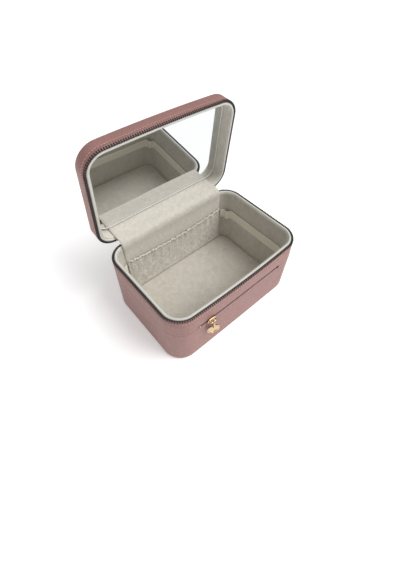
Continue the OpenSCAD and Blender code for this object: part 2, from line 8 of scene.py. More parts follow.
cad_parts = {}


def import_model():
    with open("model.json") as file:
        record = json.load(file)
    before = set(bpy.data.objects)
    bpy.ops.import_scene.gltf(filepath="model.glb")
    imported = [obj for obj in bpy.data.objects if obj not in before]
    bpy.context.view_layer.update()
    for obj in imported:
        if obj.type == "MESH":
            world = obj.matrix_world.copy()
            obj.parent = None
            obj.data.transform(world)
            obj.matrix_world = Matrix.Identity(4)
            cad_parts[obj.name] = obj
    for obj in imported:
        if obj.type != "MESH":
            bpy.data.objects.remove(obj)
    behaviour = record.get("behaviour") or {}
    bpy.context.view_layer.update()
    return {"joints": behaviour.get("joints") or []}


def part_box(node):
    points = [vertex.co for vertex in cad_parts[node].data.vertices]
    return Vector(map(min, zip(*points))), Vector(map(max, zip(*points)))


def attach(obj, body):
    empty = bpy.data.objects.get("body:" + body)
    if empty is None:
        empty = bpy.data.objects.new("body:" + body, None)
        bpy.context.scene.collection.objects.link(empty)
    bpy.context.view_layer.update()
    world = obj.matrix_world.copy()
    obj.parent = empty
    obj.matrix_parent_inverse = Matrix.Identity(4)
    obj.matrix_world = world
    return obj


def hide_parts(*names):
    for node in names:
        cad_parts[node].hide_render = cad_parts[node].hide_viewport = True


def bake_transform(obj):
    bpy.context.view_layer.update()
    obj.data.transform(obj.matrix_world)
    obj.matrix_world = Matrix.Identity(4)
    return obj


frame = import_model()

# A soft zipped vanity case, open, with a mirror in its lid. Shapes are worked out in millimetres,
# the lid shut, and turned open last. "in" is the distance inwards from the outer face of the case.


def box_mm(node):
    """A frame node's lowest and highest corners, in millimetres."""
    lo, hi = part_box(node)
    return np.array(lo) * 1000, np.array(hi) * 1000


def joint(name):
    """A joint of the frame."""
    return next(j for j in frame["joints"] if j["name"] == name)


# The case's plan and levels
HALF_W = box_mm("base_cover")[1][0]
HALF_D = -box_mm("base_cover")[0][1]
CORNER_R = 25.5
CORNER_X = HALF_W - CORNER_R
CORNER_Y = HALF_D - CORNER_R
EDGE_R = 4.0
RIM = box_mm("base_zip_teeth")[1][2]
LEATHER_TOP = box_mm("base_cover")[1][2]
LEATHER_T = 1.2
BOARD_TOP = box_mm("base_board")[1][2]
LID_RIM = RIM + 0.6
LID_TOP = LID_RIM + 21.0
LID_BAND = LID_RIM + 12.0
GLASS_FRONT = LID_TOP - 5.0
GLASS_BACK = GLASS_FRONT + 2.0
LID_PLATE = GLASS_BACK + 0.4
LINING_IN = 6.3
FACE_IN = 7.3
COLLAR_IN = 2.8
MIRROR_IN = 8.0
CREASE_DROP = 6.5
BACK_GAP = 150.0

# The foot is drawn in, and the front walls bow: out at the ends, in at the middle
FOOT_DRAW = 1.28
BOW_ENDS = 2.0
BASE_BOW = 3.2
LID_BOW = 2.6

# The wall's slanting face meets the floor pad
PAD_BOTTOM, PAD_TOP = (box_mm("floor_pad")[i][2] for i in (0, 1))
FLOOR = PAD_BOTTOM - 1.0
DRAFT = 5.2

# The pocket zip in the front
STOPS = box_mm("front_zip_stops")
ZIP_Z = (STOPS[0][2] + STOPS[1][2]) / 2
ZIP_X0 = STOPS[0][0]
ZIP_X1 = STOPS[1][0]
ZIP_HALF = (STOPS[1][2] - STOPS[0][2]) / 2
SLOT = ZIP_HALF + 0.1

# The slider of the pocket zip
SLIDER = box_mm("pocket_slider")
SLIDER_X = (SLIDER[0][0] + SLIDER[1][0]) / 2

# The coil and the stitches
LOOP_PITCH = 2.8
WIRE_R = 0.6
STITCH_PITCH = 3.5
STITCH_HALF = 1.3

# The lid's hinge
HINGE = joint("lid_hinge")
HINGE_Y = HINGE["pos_m"][1] * 1000
HINGE_Z = HINGE["pos_m"][2] * 1000
OPEN = math.radians(HINGE["range_deg"][1])


# Materials

def linear(code):
    """An sRGB hex colour as linear red, green, blue and alpha."""
    parts = [int(code[i:i + 2], 16) / 255 for i in (1, 3, 5)]
    return [p / 12.92 if p <= 0.04045 else ((p + 0.055) / 1.055) ** 2.4 for p in parts] + [1.0]


def add(tree, kind, inputs, **settings):
    """Adds a shader node; each input is a value, a hex colour, or the output that is linked to it."""
    node = tree.nodes.new("ShaderNode" + kind)
    for key, value in settings.items():
        setattr(node, key, value)
    for key, value in inputs.items():
        if isinstance(value, bpy.types.NodeSocket):
            tree.links.new(value, node.inputs[key])
        else:
            node.inputs[key].default_value = linear(value) if isinstance(value, str) else value
    return node


def start_material(name, **constants):
    """A new material with its shader's constant inputs set; returns it, its tree and Object coordinates."""
    material = bpy.data.materials.new(name)
    material.use_nodes = True
    tree = material.node_tree
    for key, value in constants.items():
        tree.nodes["Principled BSDF"].inputs[key.replace("_", " ")].default_value = value
    return material, tree, add(tree, "TexCoord", {}).outputs["Object"]


def finish(material, colour, rough=None, bump=None):
    """Links the last nodes to the material's shader."""
    tree = material.node_tree
    for node, output, key in ((colour, 2, "Base Color"), (rough, 0, "Roughness"), (bump, 0, "Normal")):
        if node:
            tree.links.new(node.outputs[output], tree.nodes["Principled BSDF"].inputs[key])
    return material


def mottled(name, scale, detail, dark, light, rough=None, **constants):
    """A plain finish: one noise mixes two near colours.

    If rough is (a, b, c, d), the noise's range from a to b also sets the roughness from c to d.
    """
    material, tree, place = start_material(name, **constants)
    cloud = add(tree, "TexNoise", {"Vector": place, "Scale": scale, "Detail": detail})
    colour = add(tree, "Mix", {0: cloud.outputs[0], 6: dark, 7: light}, data_type="RGBA")
    if rough:
        a, b, c, d = rough
        rough = add(tree, "MapRange", {0: cloud.outputs[0], 1: a, 2: b, 3: c, 4: d})
    return finish(material, colour, rough)


def leather_material():
    """Split calf leather, embossed with a fine grain and top-coated: satin, the grain's valleys darker."""
    material, tree, place = start_material("embossed_calf_leather", Coat_Weight=0.12, Coat_Roughness=0.35)
    # The grain is 0.9 mm across in the hide and is drawn 1.5 mm wide, so that it shows
    warp = add(tree, "TexNoise", {"Vector": place, "Scale": 260.0, "Detail": 2.0})
    bent = add(tree, "VectorMath", {0: warp.outputs["Color"], 1: (0.0009, 0.0009, 0.0009)},
               operation="MULTIPLY")
    moved = add(tree, "VectorMath", {0: place, 1: bent.outputs[0]}, operation="ADD")
    grain = add(tree, "TexVoronoi", {"Vector": moved.outputs[0], "Scale": 660.0}, feature="SMOOTH_F1")
    deep = grain.outputs["Distance"]
    # Dye settles unevenly over 15 to 40 mm
    cloud = add(tree, "TexNoise", {"Vector": place, "Scale": 38.0, "Detail": 4.0})
    dye = add(tree, "Mix", {0: cloud.outputs[0], 6: "#946B65", 7: "#A67B74"}, data_type="RGBA")
    valley = add(tree, "MapRange", {0: deep, 1: 0.15, 2: 0.75, 3: 0.0, 4: 0.34})
    colour = add(tree, "Mix", {0: valley.outputs[0], 6: dye.outputs[2], 7: "#6D4A48"}, data_type="RGBA")
    rough = add(tree, "MapRange", {0: deep, 1: 0.1, 2: 0.8, 3: 0.44, 4: 0.66})
    bump = add(tree, "Bump", {"Height": deep, "Strength": 0.7, "Distance": 0.0003}, invert=True)
    return finish(material, colour, rough, bump)


def suede_material(name, light, dark, patch, contrast):
    """Microfibre suede or velvet: a short nap that lies in patches, each a shade lighter or darker."""
    material, tree, place = start_material(name, Roughness=0.93, Sheen_Weight=0.35, Sheen_Roughness=0.5,
                                           Specular_IOR_Level=0.2)
    # Brushed patches are a few millimetres across, stretched a little along the stroke
    stretched = add(tree, "Mapping", {"Vector": place, "Scale": (1.0, 1.0, 0.6)})
    nap = add(tree, "TexNoise", {"Vector": stretched.outputs[0], "Scale": patch, "Detail": 6.0,
                                 "Roughness": 0.62, "Distortion": 0.8})
    lay = add(tree, "MapRange", {0: nap.outputs[0], 1: 0.5 - contrast, 2: 0.5 + contrast})
    # Fibre ends are 0.1 mm thick and are drawn in tufts of 1 mm
    fibre = add(tree, "TexNoise", {"Vector": place, "Scale": 950.0, "Detail": 3.0})
    shade = add(tree, "Mix", {0: lay.outputs[0], 6: dark, 7: light}, data_type="RGBA")
    tuft = add(tree, "MapRange", {0: fibre.outputs[0], 1: 0.3, 2: 0.7, 3: 0.0, 4: 0.55})
    colour = add(tree, "Mix", {0: tuft.outputs[0], 6: shade.outputs[2], 7: dark}, data_type="RGBA")
    both = add(tree, "Math", {0: nap.outputs[0], 1: fibre.outputs[0]}, operation="ADD")
    bump = add(tree, "Bump", {"Height": both.outputs[0], "Strength": 0.4, "Distance": 0.0004})
    return finish(material, colour, bump=bump)


def collar_material():
    """Cream leatherette over foam cord: a smooth calendered coat with a faint pebble."""
    material, tree, place = start_material("cream_leatherette", Coat_Weight=0.1, Coat_Roughness=0.3)
    pebble = add(tree, "TexVoronoi", {"Vector": place, "Scale": 1400.0}, feature="SMOOTH_F1")
    soil = add(tree, "TexNoise", {"Vector": place, "Scale": 60.0, "Detail": 3.0})
    colour = add(tree, "Mix", {0: soil.outputs[0], 6: "#CBC9C1", 7: "#D9D7CF"}, data_type="RGBA")
    rough = add(tree, "MapRange", {0: soil.outputs[0], 1: 0.3, 2: 0.7, 3: 0.4, 4: 0.55})
    bump = add(tree, "Bump", {"Height": pebble.outputs["Distance"], "Strength": 0.25, "Distance": 0.0001},
               invert=True)
    return finish(material, colour, rough, bump)


def tape_material(name, dark, light):
    """Polyester zip tape: a herringbone of 0.5 mm threads, dull."""
    material, tree, place = start_material(name, Roughness=0.85, Sheen_Weight=0.15)
    turned = add(tree, "Mapping", {"Vector": place, "Rotation": (0.7, 0.0, 0.7)})
    rib = add(tree, "TexWave", {"Vector": turned.outputs[0], "Scale": 320.0, "Distortion": 0.6})
    colour = add(tree, "Mix", {0: rib.outputs[1], 6: dark, 7: light}, data_type="RGBA")
    bump = add(tree, "Bump", {"Height": rib.outputs[1], "Strength": 0.5, "Distance": 0.0001})
    return finish(material, colour, bump=bump)


def elastic_material():
    """Woven elastic: rubber cores 1.1 mm apart under cream polyester, so it is ribbed along its length."""
    material, tree, _ = start_material("ribbed_woven_elastic", Roughness=0.8, Sheen_Weight=0.2)
    # The UV coordinates are the way along the band and the height across it, in metres
    apart = add(tree, "SeparateXYZ", {0: add(tree, "UVMap", {}).outputs[0]})
    core = add(tree, "Math", {0: apart.outputs[1], 1: 2 * math.pi / 0.0011}, operation="MULTIPLY")
    rib = add(tree, "Math", {0: core.outputs[0]}, operation="SINE")
    pick = add(tree, "Math", {0: apart.outputs[0], 1: 2 * math.pi / 0.0009}, operation="MULTIPLY")
    weft = add(tree, "Math", {0: pick.outputs[0]}, operation="SINE")
    both = add(tree, "Math", {0: weft.outputs[0], 1: 0.35, 2: rib.outputs[0]}, operation="MULTIPLY_ADD")
    tone = add(tree, "MapRange", {0: both.outputs[0], 1: -1.3, 2: 1.3, 3: 0.0, 4: 1.0})
    colour = add(tree, "Mix", {0: tone.outputs[0], 6: "#D9D2C1", 7: "#F3EEE0"}, data_type="RGBA")
    bump = add(tree, "Bump", {"Height": tone.outputs[0], "Strength": 0.6, "Distance": 0.0002})
    return finish(material, colour, bump=bump)


def gold_material():
    """Die-cast zinc, polished and plated pale gold: bright, with faint handling scratches."""
    material, tree, place = start_material("pale_gold_plate", Metallic=1.0)
    cloud = add(tree, "TexNoise", {"Vector": place, "Scale": 240.0, "Detail": 3.0})
    scratch = add(tree, "TexNoise", {"Vector": place, "Scale": 2600.0, "Detail": 2.0})
    colour = add(tree, "Mix", {0: cloud.outputs[0], 6: "#BF9F78", 7: "#DFC9A6"}, data_type="RGBA")
    rough = add(tree, "MapRange", {0: scratch.outputs[0], 1: 0.3, 2: 0.7, 3: 0.12, 4: 0.28})
    bump = add(tree, "Bump", {"Height": scratch.outputs[0], "Strength": 0.06, "Distance": 0.0001})
    return finish(material, colour, rough, bump)


def foam_material():
    """Open-cell polyurethane foam: pale, with cells of half a millimetre."""
    material, tree, place = start_material("open_cell_foam", Roughness=0.95)
    cells = add(tree, "TexVoronoi", {"Vector": place, "Scale": 1800.0}).outputs["Distance"]
    colour = add(tree, "Mix", {0: cells, 6: "#E9E7DA", 7: "#C9C5B2"}, data_type="RGBA")
    bump = add(tree, "Bump", {"Height": cells, "Strength": 0.6, "Distance": 0.0003})
    return finish(material, colour, bump=bump)


def thread_material():
    """Twisted polyester thread, a shade lighter than the leather; the ply is 0.3 mm."""
    material, tree, place = start_material("rose_polyester_thread", Roughness=0.6, Sheen_Weight=0.2)
    ply = add(tree, "TexWave", {"Vector": place, "Scale": 900.0}, bands_direction="DIAGONAL")
    colour = add(tree, "Mix", {0: ply.outputs[1], 6: "#B98A82", 7: "#E2BBB2"}, data_type="RGBA")
    return finish(material, colour)


LEATHER = leather_material()
LINING = suede_material("brushed_microfibre_suede", "#DAD5CB", "#B5AFA4", 150.0, 0.3)
FLAP = suede_material("smooth_microfibre_suede", "#E3DED4", "#C3BDB1", 230.0, 0.24)
POCKET = suede_material("crushed_microfibre_velvet", "#EAE5DC", "#B2ACA1", 300.0, 0.17)
COLLAR = collar_material()
# Extruded nylon filament, dyed black: smooth, with a soft gloss that the dye makes uneven
NYLON = mottled("black_nylon_filament", 500.0, 2.0, "#14110F", "#2A2421", (0.3, 0.7, 0.28, 0.5), IOR=1.53)
TAPE = tape_material("black_woven_zip_tape", "#0E0C0B", "#26211E")
BROWN_TAPE = tape_material("brown_woven_zip_tape", "#4E3B37", "#6E5751")
ELASTIC = elastic_material()
GOLD = gold_material()
# Silvered float glass: almost all light comes back
MIRROR = mottled("silvered_float_glass", 14.0, 3.0, "#DEE1E2", "#E8EAEB", (0.35, 0.65, 0.008, 0.022),
                 Metallic=1.0)
# The glass's bevelled edge, coloured near white: a painted highlight for the light that the polished bevel
# catches
EDGE_HIGHLIGHT = mottled("glass_edge_painted_highlight", 900.0, 2.0, "#EEF1F2", "#FCFDFD", (0.3, 0.7, 0.2, 0.4), IOR=1.52)
# Grey board, pressed from waste paper: flecked and matt
BOARD = mottled("pressed_grey_board", 700.0, 4.0, "#7E6F5C", "#A8977E", Roughness=0.9)
FOAM = foam_material()
THREAD = thread_material()


# Shapes

def smooth(a, b, x):
    """0 below a, 1 above b, and a smooth step of the third power between."""
    t = np.clip((x - a) / (b - a), 0, 1)
    return t * t * (3 - 2 * t)


def face_in(z):
    """How far in the lining's face lies at height z: upright to BOARD_TOP, then slanting to the floor."""
    return FACE_IN + DRAFT * (BOARD_TOP - np.minimum(z, BOARD_TOP)) / (BOARD_TOP - FLOOR)


def bowed(x, y, depth):
    """How far the front wall bows: BOW_ENDS - depth (1 - (x / half width) squared), fading to the rear."""
    return (BOW_ENDS - depth * (1 - np.clip(x / HALF_W, -1, 1) ** 2)) * smooth(30, 60, -y)


def base_form(p):
    """The soft base is drawn in a little towards its foot, and its front wall bows with the open rim.

    x and y shrink by FOOT_DRAW at the foot, in proportion to the depth below the rim. The front's bow
    fades from the rim down to 0.15 of itself at the zip.
    """
    x, y, z = p[..., 0], p[..., 1], p[..., 2]
    low = FOOT_DRAW * (1 - np.clip(z / RIM, 0, 1))
    bow = bowed(x, y, BASE_BOW) * (0.15 + 0.85 * smooth(ZIP_Z, RIM, z))
    return np.stack([x * (1 - low / HALF_W), y * (1 - low / HALF_D) + bow, z], -1)


def lid_form(p):
    """The lid's front wall bows by the same amount over its whole depth."""
    x, y, z = p[..., 0], p[..., 1], p[..., 2]
    return np.stack([x, y + bowed(x, y, LID_BOW), z], -1)


def opened(p, share=1.0):
    """Turns points about the hinge line by a share of the lid's opening: y and z turn backwards."""
    c, s = math.cos(OPEN * share), math.sin(OPEN * share)
    y, z = p[..., 1] - HINGE_Y, p[..., 2] - HINGE_Z
    return np.stack([p[..., 0], HINGE_Y + c * y + s * z, HINGE_Z - s * y + c * z], -1)


def open_lid(p):
    """A shut lid point in the open lid."""
    return opened(lid_form(p))


def plan(step=3.0, gap=0.0, marks=()):
    """Stations round the case, counter-clockwise from the middle of the back.

    Equal steps of arc length on the outer face, with a gap left open at the back, and more stations
    on the front at the x of each mark. Each is the centre of the corner's rounding, or the nearest
    point of the inner rectangle on a straight side, with the outward normal there.
    """
    quarter = CORNER_R * math.pi / 2
    legs = [CORNER_X, quarter, 2 * CORNER_Y, quarter, 2 * CORNER_X, quarter, 2 * CORNER_Y, quarter, CORNER_X]
    ends = np.concatenate([[0.0], np.cumsum(legs)])
    count = int(round((ends[-1] - gap) / step))
    s = np.linspace(gap / 2, ends[-1] - gap / 2, count + 1)
    s = s[:-1] if gap == 0 else s
    if len(marks):
        at = ends[4] + CORNER_X + np.array(marks, float)
        s = s[np.min(np.abs(s[:, None] - at), axis=1) > 0.4 * step]
        s = np.sort(np.concatenate([s, at]))
    angle = np.radians(np.interp(s, ends, [90, 90, 180, 180, 270, 270, 360, 360, 450, 450]))
    x = np.interp(s, ends, CORNER_X * np.array([0, -1, -1, -1, -1, 1, 1, 1, 1, 0]))
    y = np.interp(s, ends, CORNER_Y * np.array([1, 1, 1, -1, -1, -1, -1, 1, 1, 1]))
    return np.stack([x, y], -1), np.stack([np.cos(angle), np.sin(angle)], -1)


def around(stations, profile):
    """A profile of [in, z] points at each station: centre + normal (corner radius - in), at height z."""
    core, normal = stations
    profile = np.array(profile, float)
    flat = core[:, None] + normal[:, None] * (CORNER_R - profile[None, :, :1])
    z = np.broadcast_to(profile[None, :, 1:], flat.shape[:2] + (1,))
    return np.concatenate([flat, z], -1)


def quads(rows, cols, wrap_rows=False, wrap_cols=False):
    """The quads between neighbours of a grid whose points are numbered row by row."""
    r, c = np.meshgrid(np.arange(rows if wrap_rows else rows - 1),
                       np.arange(cols if wrap_cols else cols - 1), indexing="ij")
    r1, c1 = (r + 1) % rows, (c + 1) % cols
    return np.stack([r * cols + c, r * cols + c1, r1 * cols + c1, r1 * cols + c], -1).reshape(-1, 4)


def skin(rings, closed=False):
    """Rings of points as one surface: quads between neighbours, and caps on the first and last ring."""
    n, m = rings.shape[:2]
    faces = quads(n, m, wrap_rows=closed, wrap_cols=True).tolist()
    if not closed:
        faces += [list(range(m))[::-1], list(range((n - 1) * m, n * m))]
    return rings.reshape(-1, 3), faces


def two_sided(front, rear):
    """A sheet from the grids of its two sides, closed along its four edges."""
    n, m = front.shape[:2]
    body = quads(n, m)
    strips = []
    for start, count, stride, turned in ((0, m - 1, 1, True), ((n - 1) * m, m - 1, 1, False),
                                         (0, n - 1, m, False), (m - 1, n - 1, m, True)):
        i = start + stride * np.arange(count)
        strip = np.stack([i, i + stride, i + stride + n * m, i + n * m], -1)
        strips.append(strip[:, ::-1] if turned else strip)
    faces = np.concatenate([body, (body + n * m)[:, ::-1]] + strips).tolist()
    return np.concatenate([front.reshape(-1, 3), rear.reshape(-1, 3)]), faces


def volume(points, faces):
    """Six times the signed volume inside the faces, each a fan of triangles from its first corner."""
    total = 0.0
    for size in set(len(f) for f in faces):
        f = np.array([g for g in faces if len(g) == size])
        for k in range(1, size - 1):
            a, b, c = points[f[:, 0]], points[f[:, k]], points[f[:, k + 1]]
            total += np.einsum("ij,ij->", a, np.cross(b, c))
    return total


def make(name, points, faces, material, uv=None, flat=False):
    """A mesh object from points in millimetres; a closed one is turned so that its faces look outwards."""
    points = np.asarray(points, float).reshape(-1, 3)
    faces = [list(f) for f in faces]
    if volume(points - points.mean(0), faces) < 0:
        faces = [f[::-1] for f in faces]
    mesh = bpy.data.meshes.new(name)
    mesh.from_pydata((points / 1000).tolist(), [], faces)
    mesh.materials.append(material)
    mesh.polygons.foreach_set("use_smooth", np.full(len(mesh.polygons), not flat))
    if uv is not None:
        corner = np.empty(len(mesh.loops), np.int32)
        mesh.loops.foreach_get("vertex_index", corner)
        layer = mesh.uv_layers.new(name="UVMap")
        layer.data.foreach_set("uv", (np.asarray(uv, float).reshape(-1, 2) / 1000)[corner].ravel())
    mesh.validate()
    mesh.update()
    piece = bpy.data.objects.new(name, mesh)
    bpy.context.scene.collection.objects.link(piece)
    return piece


def place(piece, body, slot, *nodes):
    """The piece rides on a body and stands for the CAD nodes named, which it hides; the slot is not used."""
    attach(piece, body)
    if nodes:
        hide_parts(*nodes)
    return piece


def domed(ring, first, crown, rings=6):
    """Fills a ring of points: rings shrunk towards its middle, raised by crown (1 - share squared) mm.

    Returns the new points and their faces, numbered on from "first".
    """
    middle = ring.mean(0)
    shares = np.linspace(1, 0, rings + 1)[1:-1]
    inner = middle + (ring - middle)[None] * shares[:, None, None]
    inner[..., 2] += crown * (1 - shares[:, None] ** 2)
    n = len(ring)
    last = first + (len(shares) - 1) * n
    pole = last + n
    faces = (first + quads(len(shares), n, wrap_cols=True)).tolist()
    faces += [[last + i, last + (i + 1) % n, pole] for i in range(n)]
    return np.concatenate([inner.reshape(-1, 3), [middle + [0, 0, crown]]]), faces


def tub(name, stations, outside, inside, form, material, crown=0.0, hole=None):
    """A tub of leather, board or lining: an outside and an inside profile, both from the floor's middle up.

    The two profiles meet at the rim. Both floors are filled by shrunk rings, raised by the crown. A hole is
    (first station, last station, outside rows, inside rows), whose quads are left out and lined.
    """
    grid = around(stations, list(outside) + list(inside)[::-1])
    n, m = grid.shape[:2]
    keep = np.ones((n, m - 1), bool)
    walls = []
    if hole:
        a, b, (o0, o1), (i0, i1) = hole
        i0, i1 = m - 1 - i0, m - 1 - i1
        keep[a:b, o0:o1] = False
        keep[a:b, i1:i0] = False
        for k in range(a * m, b * m, m):
            walls.append([k + i0, k + m + i0, k + m + o0, k + o0])
            walls.append([k + m + i1, k + i1, k + o1, k + m + o1])
        frame_rows = list(range(o0, o1 + 1)) + list(range(i1, i0 + 1))
        walls.append([a * m + j for j in frame_rows])
        walls.append([b * m + j for j in frame_rows[::-1]])
    faces = quads(n, m, wrap_rows=True).reshape(n, m - 1, 4)[keep].tolist() + walls
    points = grid.reshape(-1, 3)
    for column, turned in ((0, False), (m - 1, True)):
        first = len(points)
        more, cap = domed(grid[:, column], first, crown)
        for i in range(n):
            j = (i + 1) % n
            cap.append([i * m + column, j * m + column, first + j, first + i])
        faces += [f[::-1] for f in cap] if turned else cap
        points = np.concatenate([points, more])
    return make(name, form(points), faces, material)


def belt(name, stations, profile, form, material, closed=True):
    """A closed profile carried round the case; where it is open at the back its two ends are capped."""
    points, faces = skin(around(stations, profile), closed)
    return make(name, form(points), faces, material)


def arc(cx, cz, r, a0, a1, n=6):
    """Points on an arc about (cx, cz), from angle a0 to a1 in degrees."""
    a = np.radians(np.linspace(a0, a1, n + 1))
    return [[cx + r * math.cos(t), cz + r * math.sin(t)] for t in a]


def tube(path, radius, sides=10, closed=False):
    """A round tube: rings of radius r about each point of a path, square to it, carried without twist.

    Ring k is path + r (cos t side + sin t up), where side and up are turned from ring to ring by
    the least turn. Returns points and faces; an open tube has a pole at each end.
    """
    path = np.asarray(path, float)
    n = len(path)
    if closed:
        along = np.roll(path, -1, 0) - np.roll(path, 1, 0)
    else:
        along = np.gradient(path, axis=0)
    along /= np.linalg.norm(along, axis=1)[:, None]
    side = np.cross(along[0], [0.3, 0.5, 0.81])
    sides_list = []
    for t in along:
        side = side - t * side.dot(t)
        side = side / np.linalg.norm(side)
        sides_list.append(side)
    side = np.array(sides_list)
    up = np.cross(along, side)
    turn = np.linspace(0, 2 * math.pi, sides, endpoint=False)
    r = np.broadcast_to(np.asarray(radius, float), (n,))[:, None, None]
    ring = side[:, None] * np.cos(turn)[None, :, None] + up[:, None] * np.sin(turn)[None, :, None]
    points = (path[:, None] + r * ring).reshape(-1, 3)
    faces = quads(n, sides, wrap_rows=closed, wrap_cols=True).tolist()
    if not closed:
        ends = np.array([path[0] - along[0] * r[0, 0] * 0.5, path[-1] + along[-1] * r[-1, 0] * 0.5])
        points = np.concatenate([points, ends])
        a, b, z = n * sides, n * sides + 1, (n - 1) * sides
        faces += [[(i + 1) % sides, i, a] for i in range(sides)]
        faces += [[z + i, z + (i + 1) % sides, b] for i in range(sides)]
    return points, faces


def scatter(shape, faces, origins, axes):
    """Copies of a small shape, one at each origin, its own x, y and z laid along the rows of axes."""
    axes = np.broadcast_to(axes, (len(origins), 3, 3))
    points = origins[:, None] + np.einsum("vk,nkj->nvj", shape, axes)
    if np.linalg.det(axes[0]) < 0:
        faces = [f[::-1] for f in faces]
    every = [[v + k * len(shape) for v in f] for k in range(len(origins)) for f in faces]
    return points.reshape(-1, 3), every


def strewn(shape, faces, stations, inset, level, way=1.0):
    """Copies of a small shape at every station: its x inwards, its y along the case, its z up or down."""
    core, normal = stations
    n = len(core)
    inward = np.column_stack([-normal, np.zeros(n)])
    along = np.column_stack([-normal[:, 1], normal[:, 0], np.zeros(n)])
    axes = np.stack([inward, along, np.tile([0.0, 0.0, way], (n, 1))], 1)
    origins = np.column_stack([core + normal * (CORNER_R - inset), np.full(n, level)])
    return scatter(shape, faces, origins, axes)


def joined(parts):
    """Several (points, faces) pairs as one."""
    points = []
    faces = []
    start = 0
    for p, f in parts:
        p = np.asarray(p, float)
        points.append(p)
        faces += [[v + start for v in g] for g in f]
        start += len(p)
    return np.concatenate(points), faces


def cast(name, parts, material, form=np.asarray):
    """One piece from several (points, faces) pairs."""
    points, faces = joined(parts)
    return make(name, form(points), faces, material)


def outward(outline):
    """The outward normals of a counter-clockwise outline, each square to the line between its neighbours."""
    along = np.roll(outline, -1, 0) - np.roll(outline, 1, 0)
    along /= np.maximum(np.linalg.norm(along, axis=1), 1e-9)[:, None]
    return np.stack([along[:, 1], -along[:, 0]], -1)


def stepped(outline, steps):
    """Rings from an outline: moved in by a width and set at a height, for each step."""
    out = outward(outline)
    return np.stack([np.column_stack([outline - out * d, np.full(len(outline), z)]) for d, z in steps])


def slab(outline, low, high, bevel):
    """A plate: an outline in the plane of a and b, thick along c from low to high, its edges bevelled."""
    outline = np.asarray(outline, float)
    after = np.roll(outline, -1, 0)
    spin = np.sum(outline[:, 0] * after[:, 1] - outline[:, 1] * after[:, 0])
    k = bevel * 0.3
    steps = [(bevel, low), (k, low + k), (0, low + bevel), (0, high - bevel), (k, high - k), (bevel, high)]
    return skin(stepped(outline if spin > 0 else outline[::-1], steps))


def stood(plate, move=(0, 0, 0)):
    """A plate stood up, its b upwards and its thickness along y, and moved."""
    points, faces = plate
    return points[:, [0, 2, 1]] + move, [f[::-1] for f in faces]


def rounded(half_a, half_b, r, n=8, centre=(0.0, 0.0)):
    """The outline of a rectangle with round corners."""
    out = []
    for sx, sy, a in ((1, 1, 0), (-1, 1, 90), (-1, -1, 180), (1, -1, 270)):
        out += arc(centre[0] + sx * (half_a - r), centre[1] + sy * (half_b - r), r, a, a + 90, n)
    return np.array(out)


# The base

FRONT_MARKS = np.concatenate([[ZIP_X0, ZIP_X1], np.arange(ZIP_X0 + 4, ZIP_X1 - 2, 4.0)])
ALL_ROUND = plan()
WITH_ZIP = plan(marks=FRONT_MARKS)
PARTED = plan(gap=BACK_GAP)
FLOOR_IN = 0.9 * CORNER_R


def cover_profiles(height, crease, slot=None):
    """A cover's outside and inside as [in, z], z up from its closed end to the leather's edge.

    The outer edge is round, the wall upright, a sewn crease 0.5 mm deep runs round it, and a turned
    edge runs 2 mm further up behind the zip's coil. Rows lie at the edges of the slot, if there is one.
    """
    rows = list(np.arange(EDGE_R + 4, height - 2, 5.0))
    if slot:
        rows = [z for z in rows if abs(z - slot[0]) > slot[1] + 2.5 and abs(z - slot[0]) > 3]
    rows = [z for z in rows if abs(z - crease) > 1.8]
    outside = [[FLOOR_IN, 0], [12, 0]] + arc(EDGE_R, EDGE_R, EDGE_R, 270, 180, 7)
    wall = [[0, z] for z in rows]
    wall += [[0, crease - 1.1], [0.3, crease - 0.5], [0.5, crease], [0.3, crease + 0.5], [0, crease + 1.1]]
    inner = [[LEATHER_T, z] for z in rows]
    if slot:
        z, half = slot
        wall += [[0, z - half - 1.6], [-0.12, z - half - 0.7], [0.25, z - half], [0.25, z + half],
                 [-0.12, z + half + 0.7], [0, z + half + 1.6]]
        inner += [[LEATHER_T, z - half], [LEATHER_T, z + half]]
    wall.sort(key=lambda p: p[1])
    inner.sort(key=lambda p: p[1])
    outside += wall + [[0.02, height - 0.9], [0.2, height - 0.2], [0.7, height + 0.3], [0.9, height + 0.8],
                       [0.95, height + 1.8], [1.2, height + 2.0]]
    k = EDGE_R - LEATHER_T
    inside = [[FLOOR_IN, LEATHER_T]] + arc(EDGE_R, EDGE_R, k, 270, 180, 4) + inner
    inside += [[LEATHER_T, height - 0.6], [1.45, height + 0.4], [1.45, height + 1.8]]
    return outside, inside


def base_cover():
    """The base's leather, with the slot of the pocket zip in its front."""
    outside, inside = cover_profiles(LEATHER_TOP, RIM - CREASE_DROP, (ZIP_Z, SLOT))
    core, normal = WITH_ZIP
    rear = 1000 * (normal[:, 1] > -0.999999)
    first, last = (int(np.argmin(np.abs(core[:, 0] - x) + rear)) for x in (ZIP_X0, ZIP_X1))
    rows = []
    for line in (outside, inside):
        z = np.array(line)[:, 1]
        rows.append([int(np.argmin(np.abs(z - edge))) for edge in (ZIP_Z - SLOT, ZIP_Z + SLOT)])
    return tub("base_leather", WITH_ZIP, outside, inside, base_form, LEATHER, hole=(first, last, *rows))


place(base_cover(), "base", "leather", "base_cover")

place(tub("base_stiffener", ALL_ROUND,
          [[FLOOR_IN, 1.2]] + arc(4, 4, 2.8, 270, 180, 4) + [[1.2, 30], [1.2, 60], [1.2, BOARD_TOP]],
          [[FLOOR_IN, 3], [3, 3], [3, 30], [3, 60], [3, BOARD_TOP]], base_form, BOARD),
      "base", "board", "base_board")

foam_foot = face_in(FLOOR) - 1
place(belt("base_padding", ALL_ROUND, [[3, 3], [3, 30], [3, 60], [3, BOARD_TOP], [LINING_IN, BOARD_TOP],
      [(LINING_IN + foam_foot) / 2, 41], [foam_foot, 3]], base_form, FOAM), "base", "foam", "base_foam")


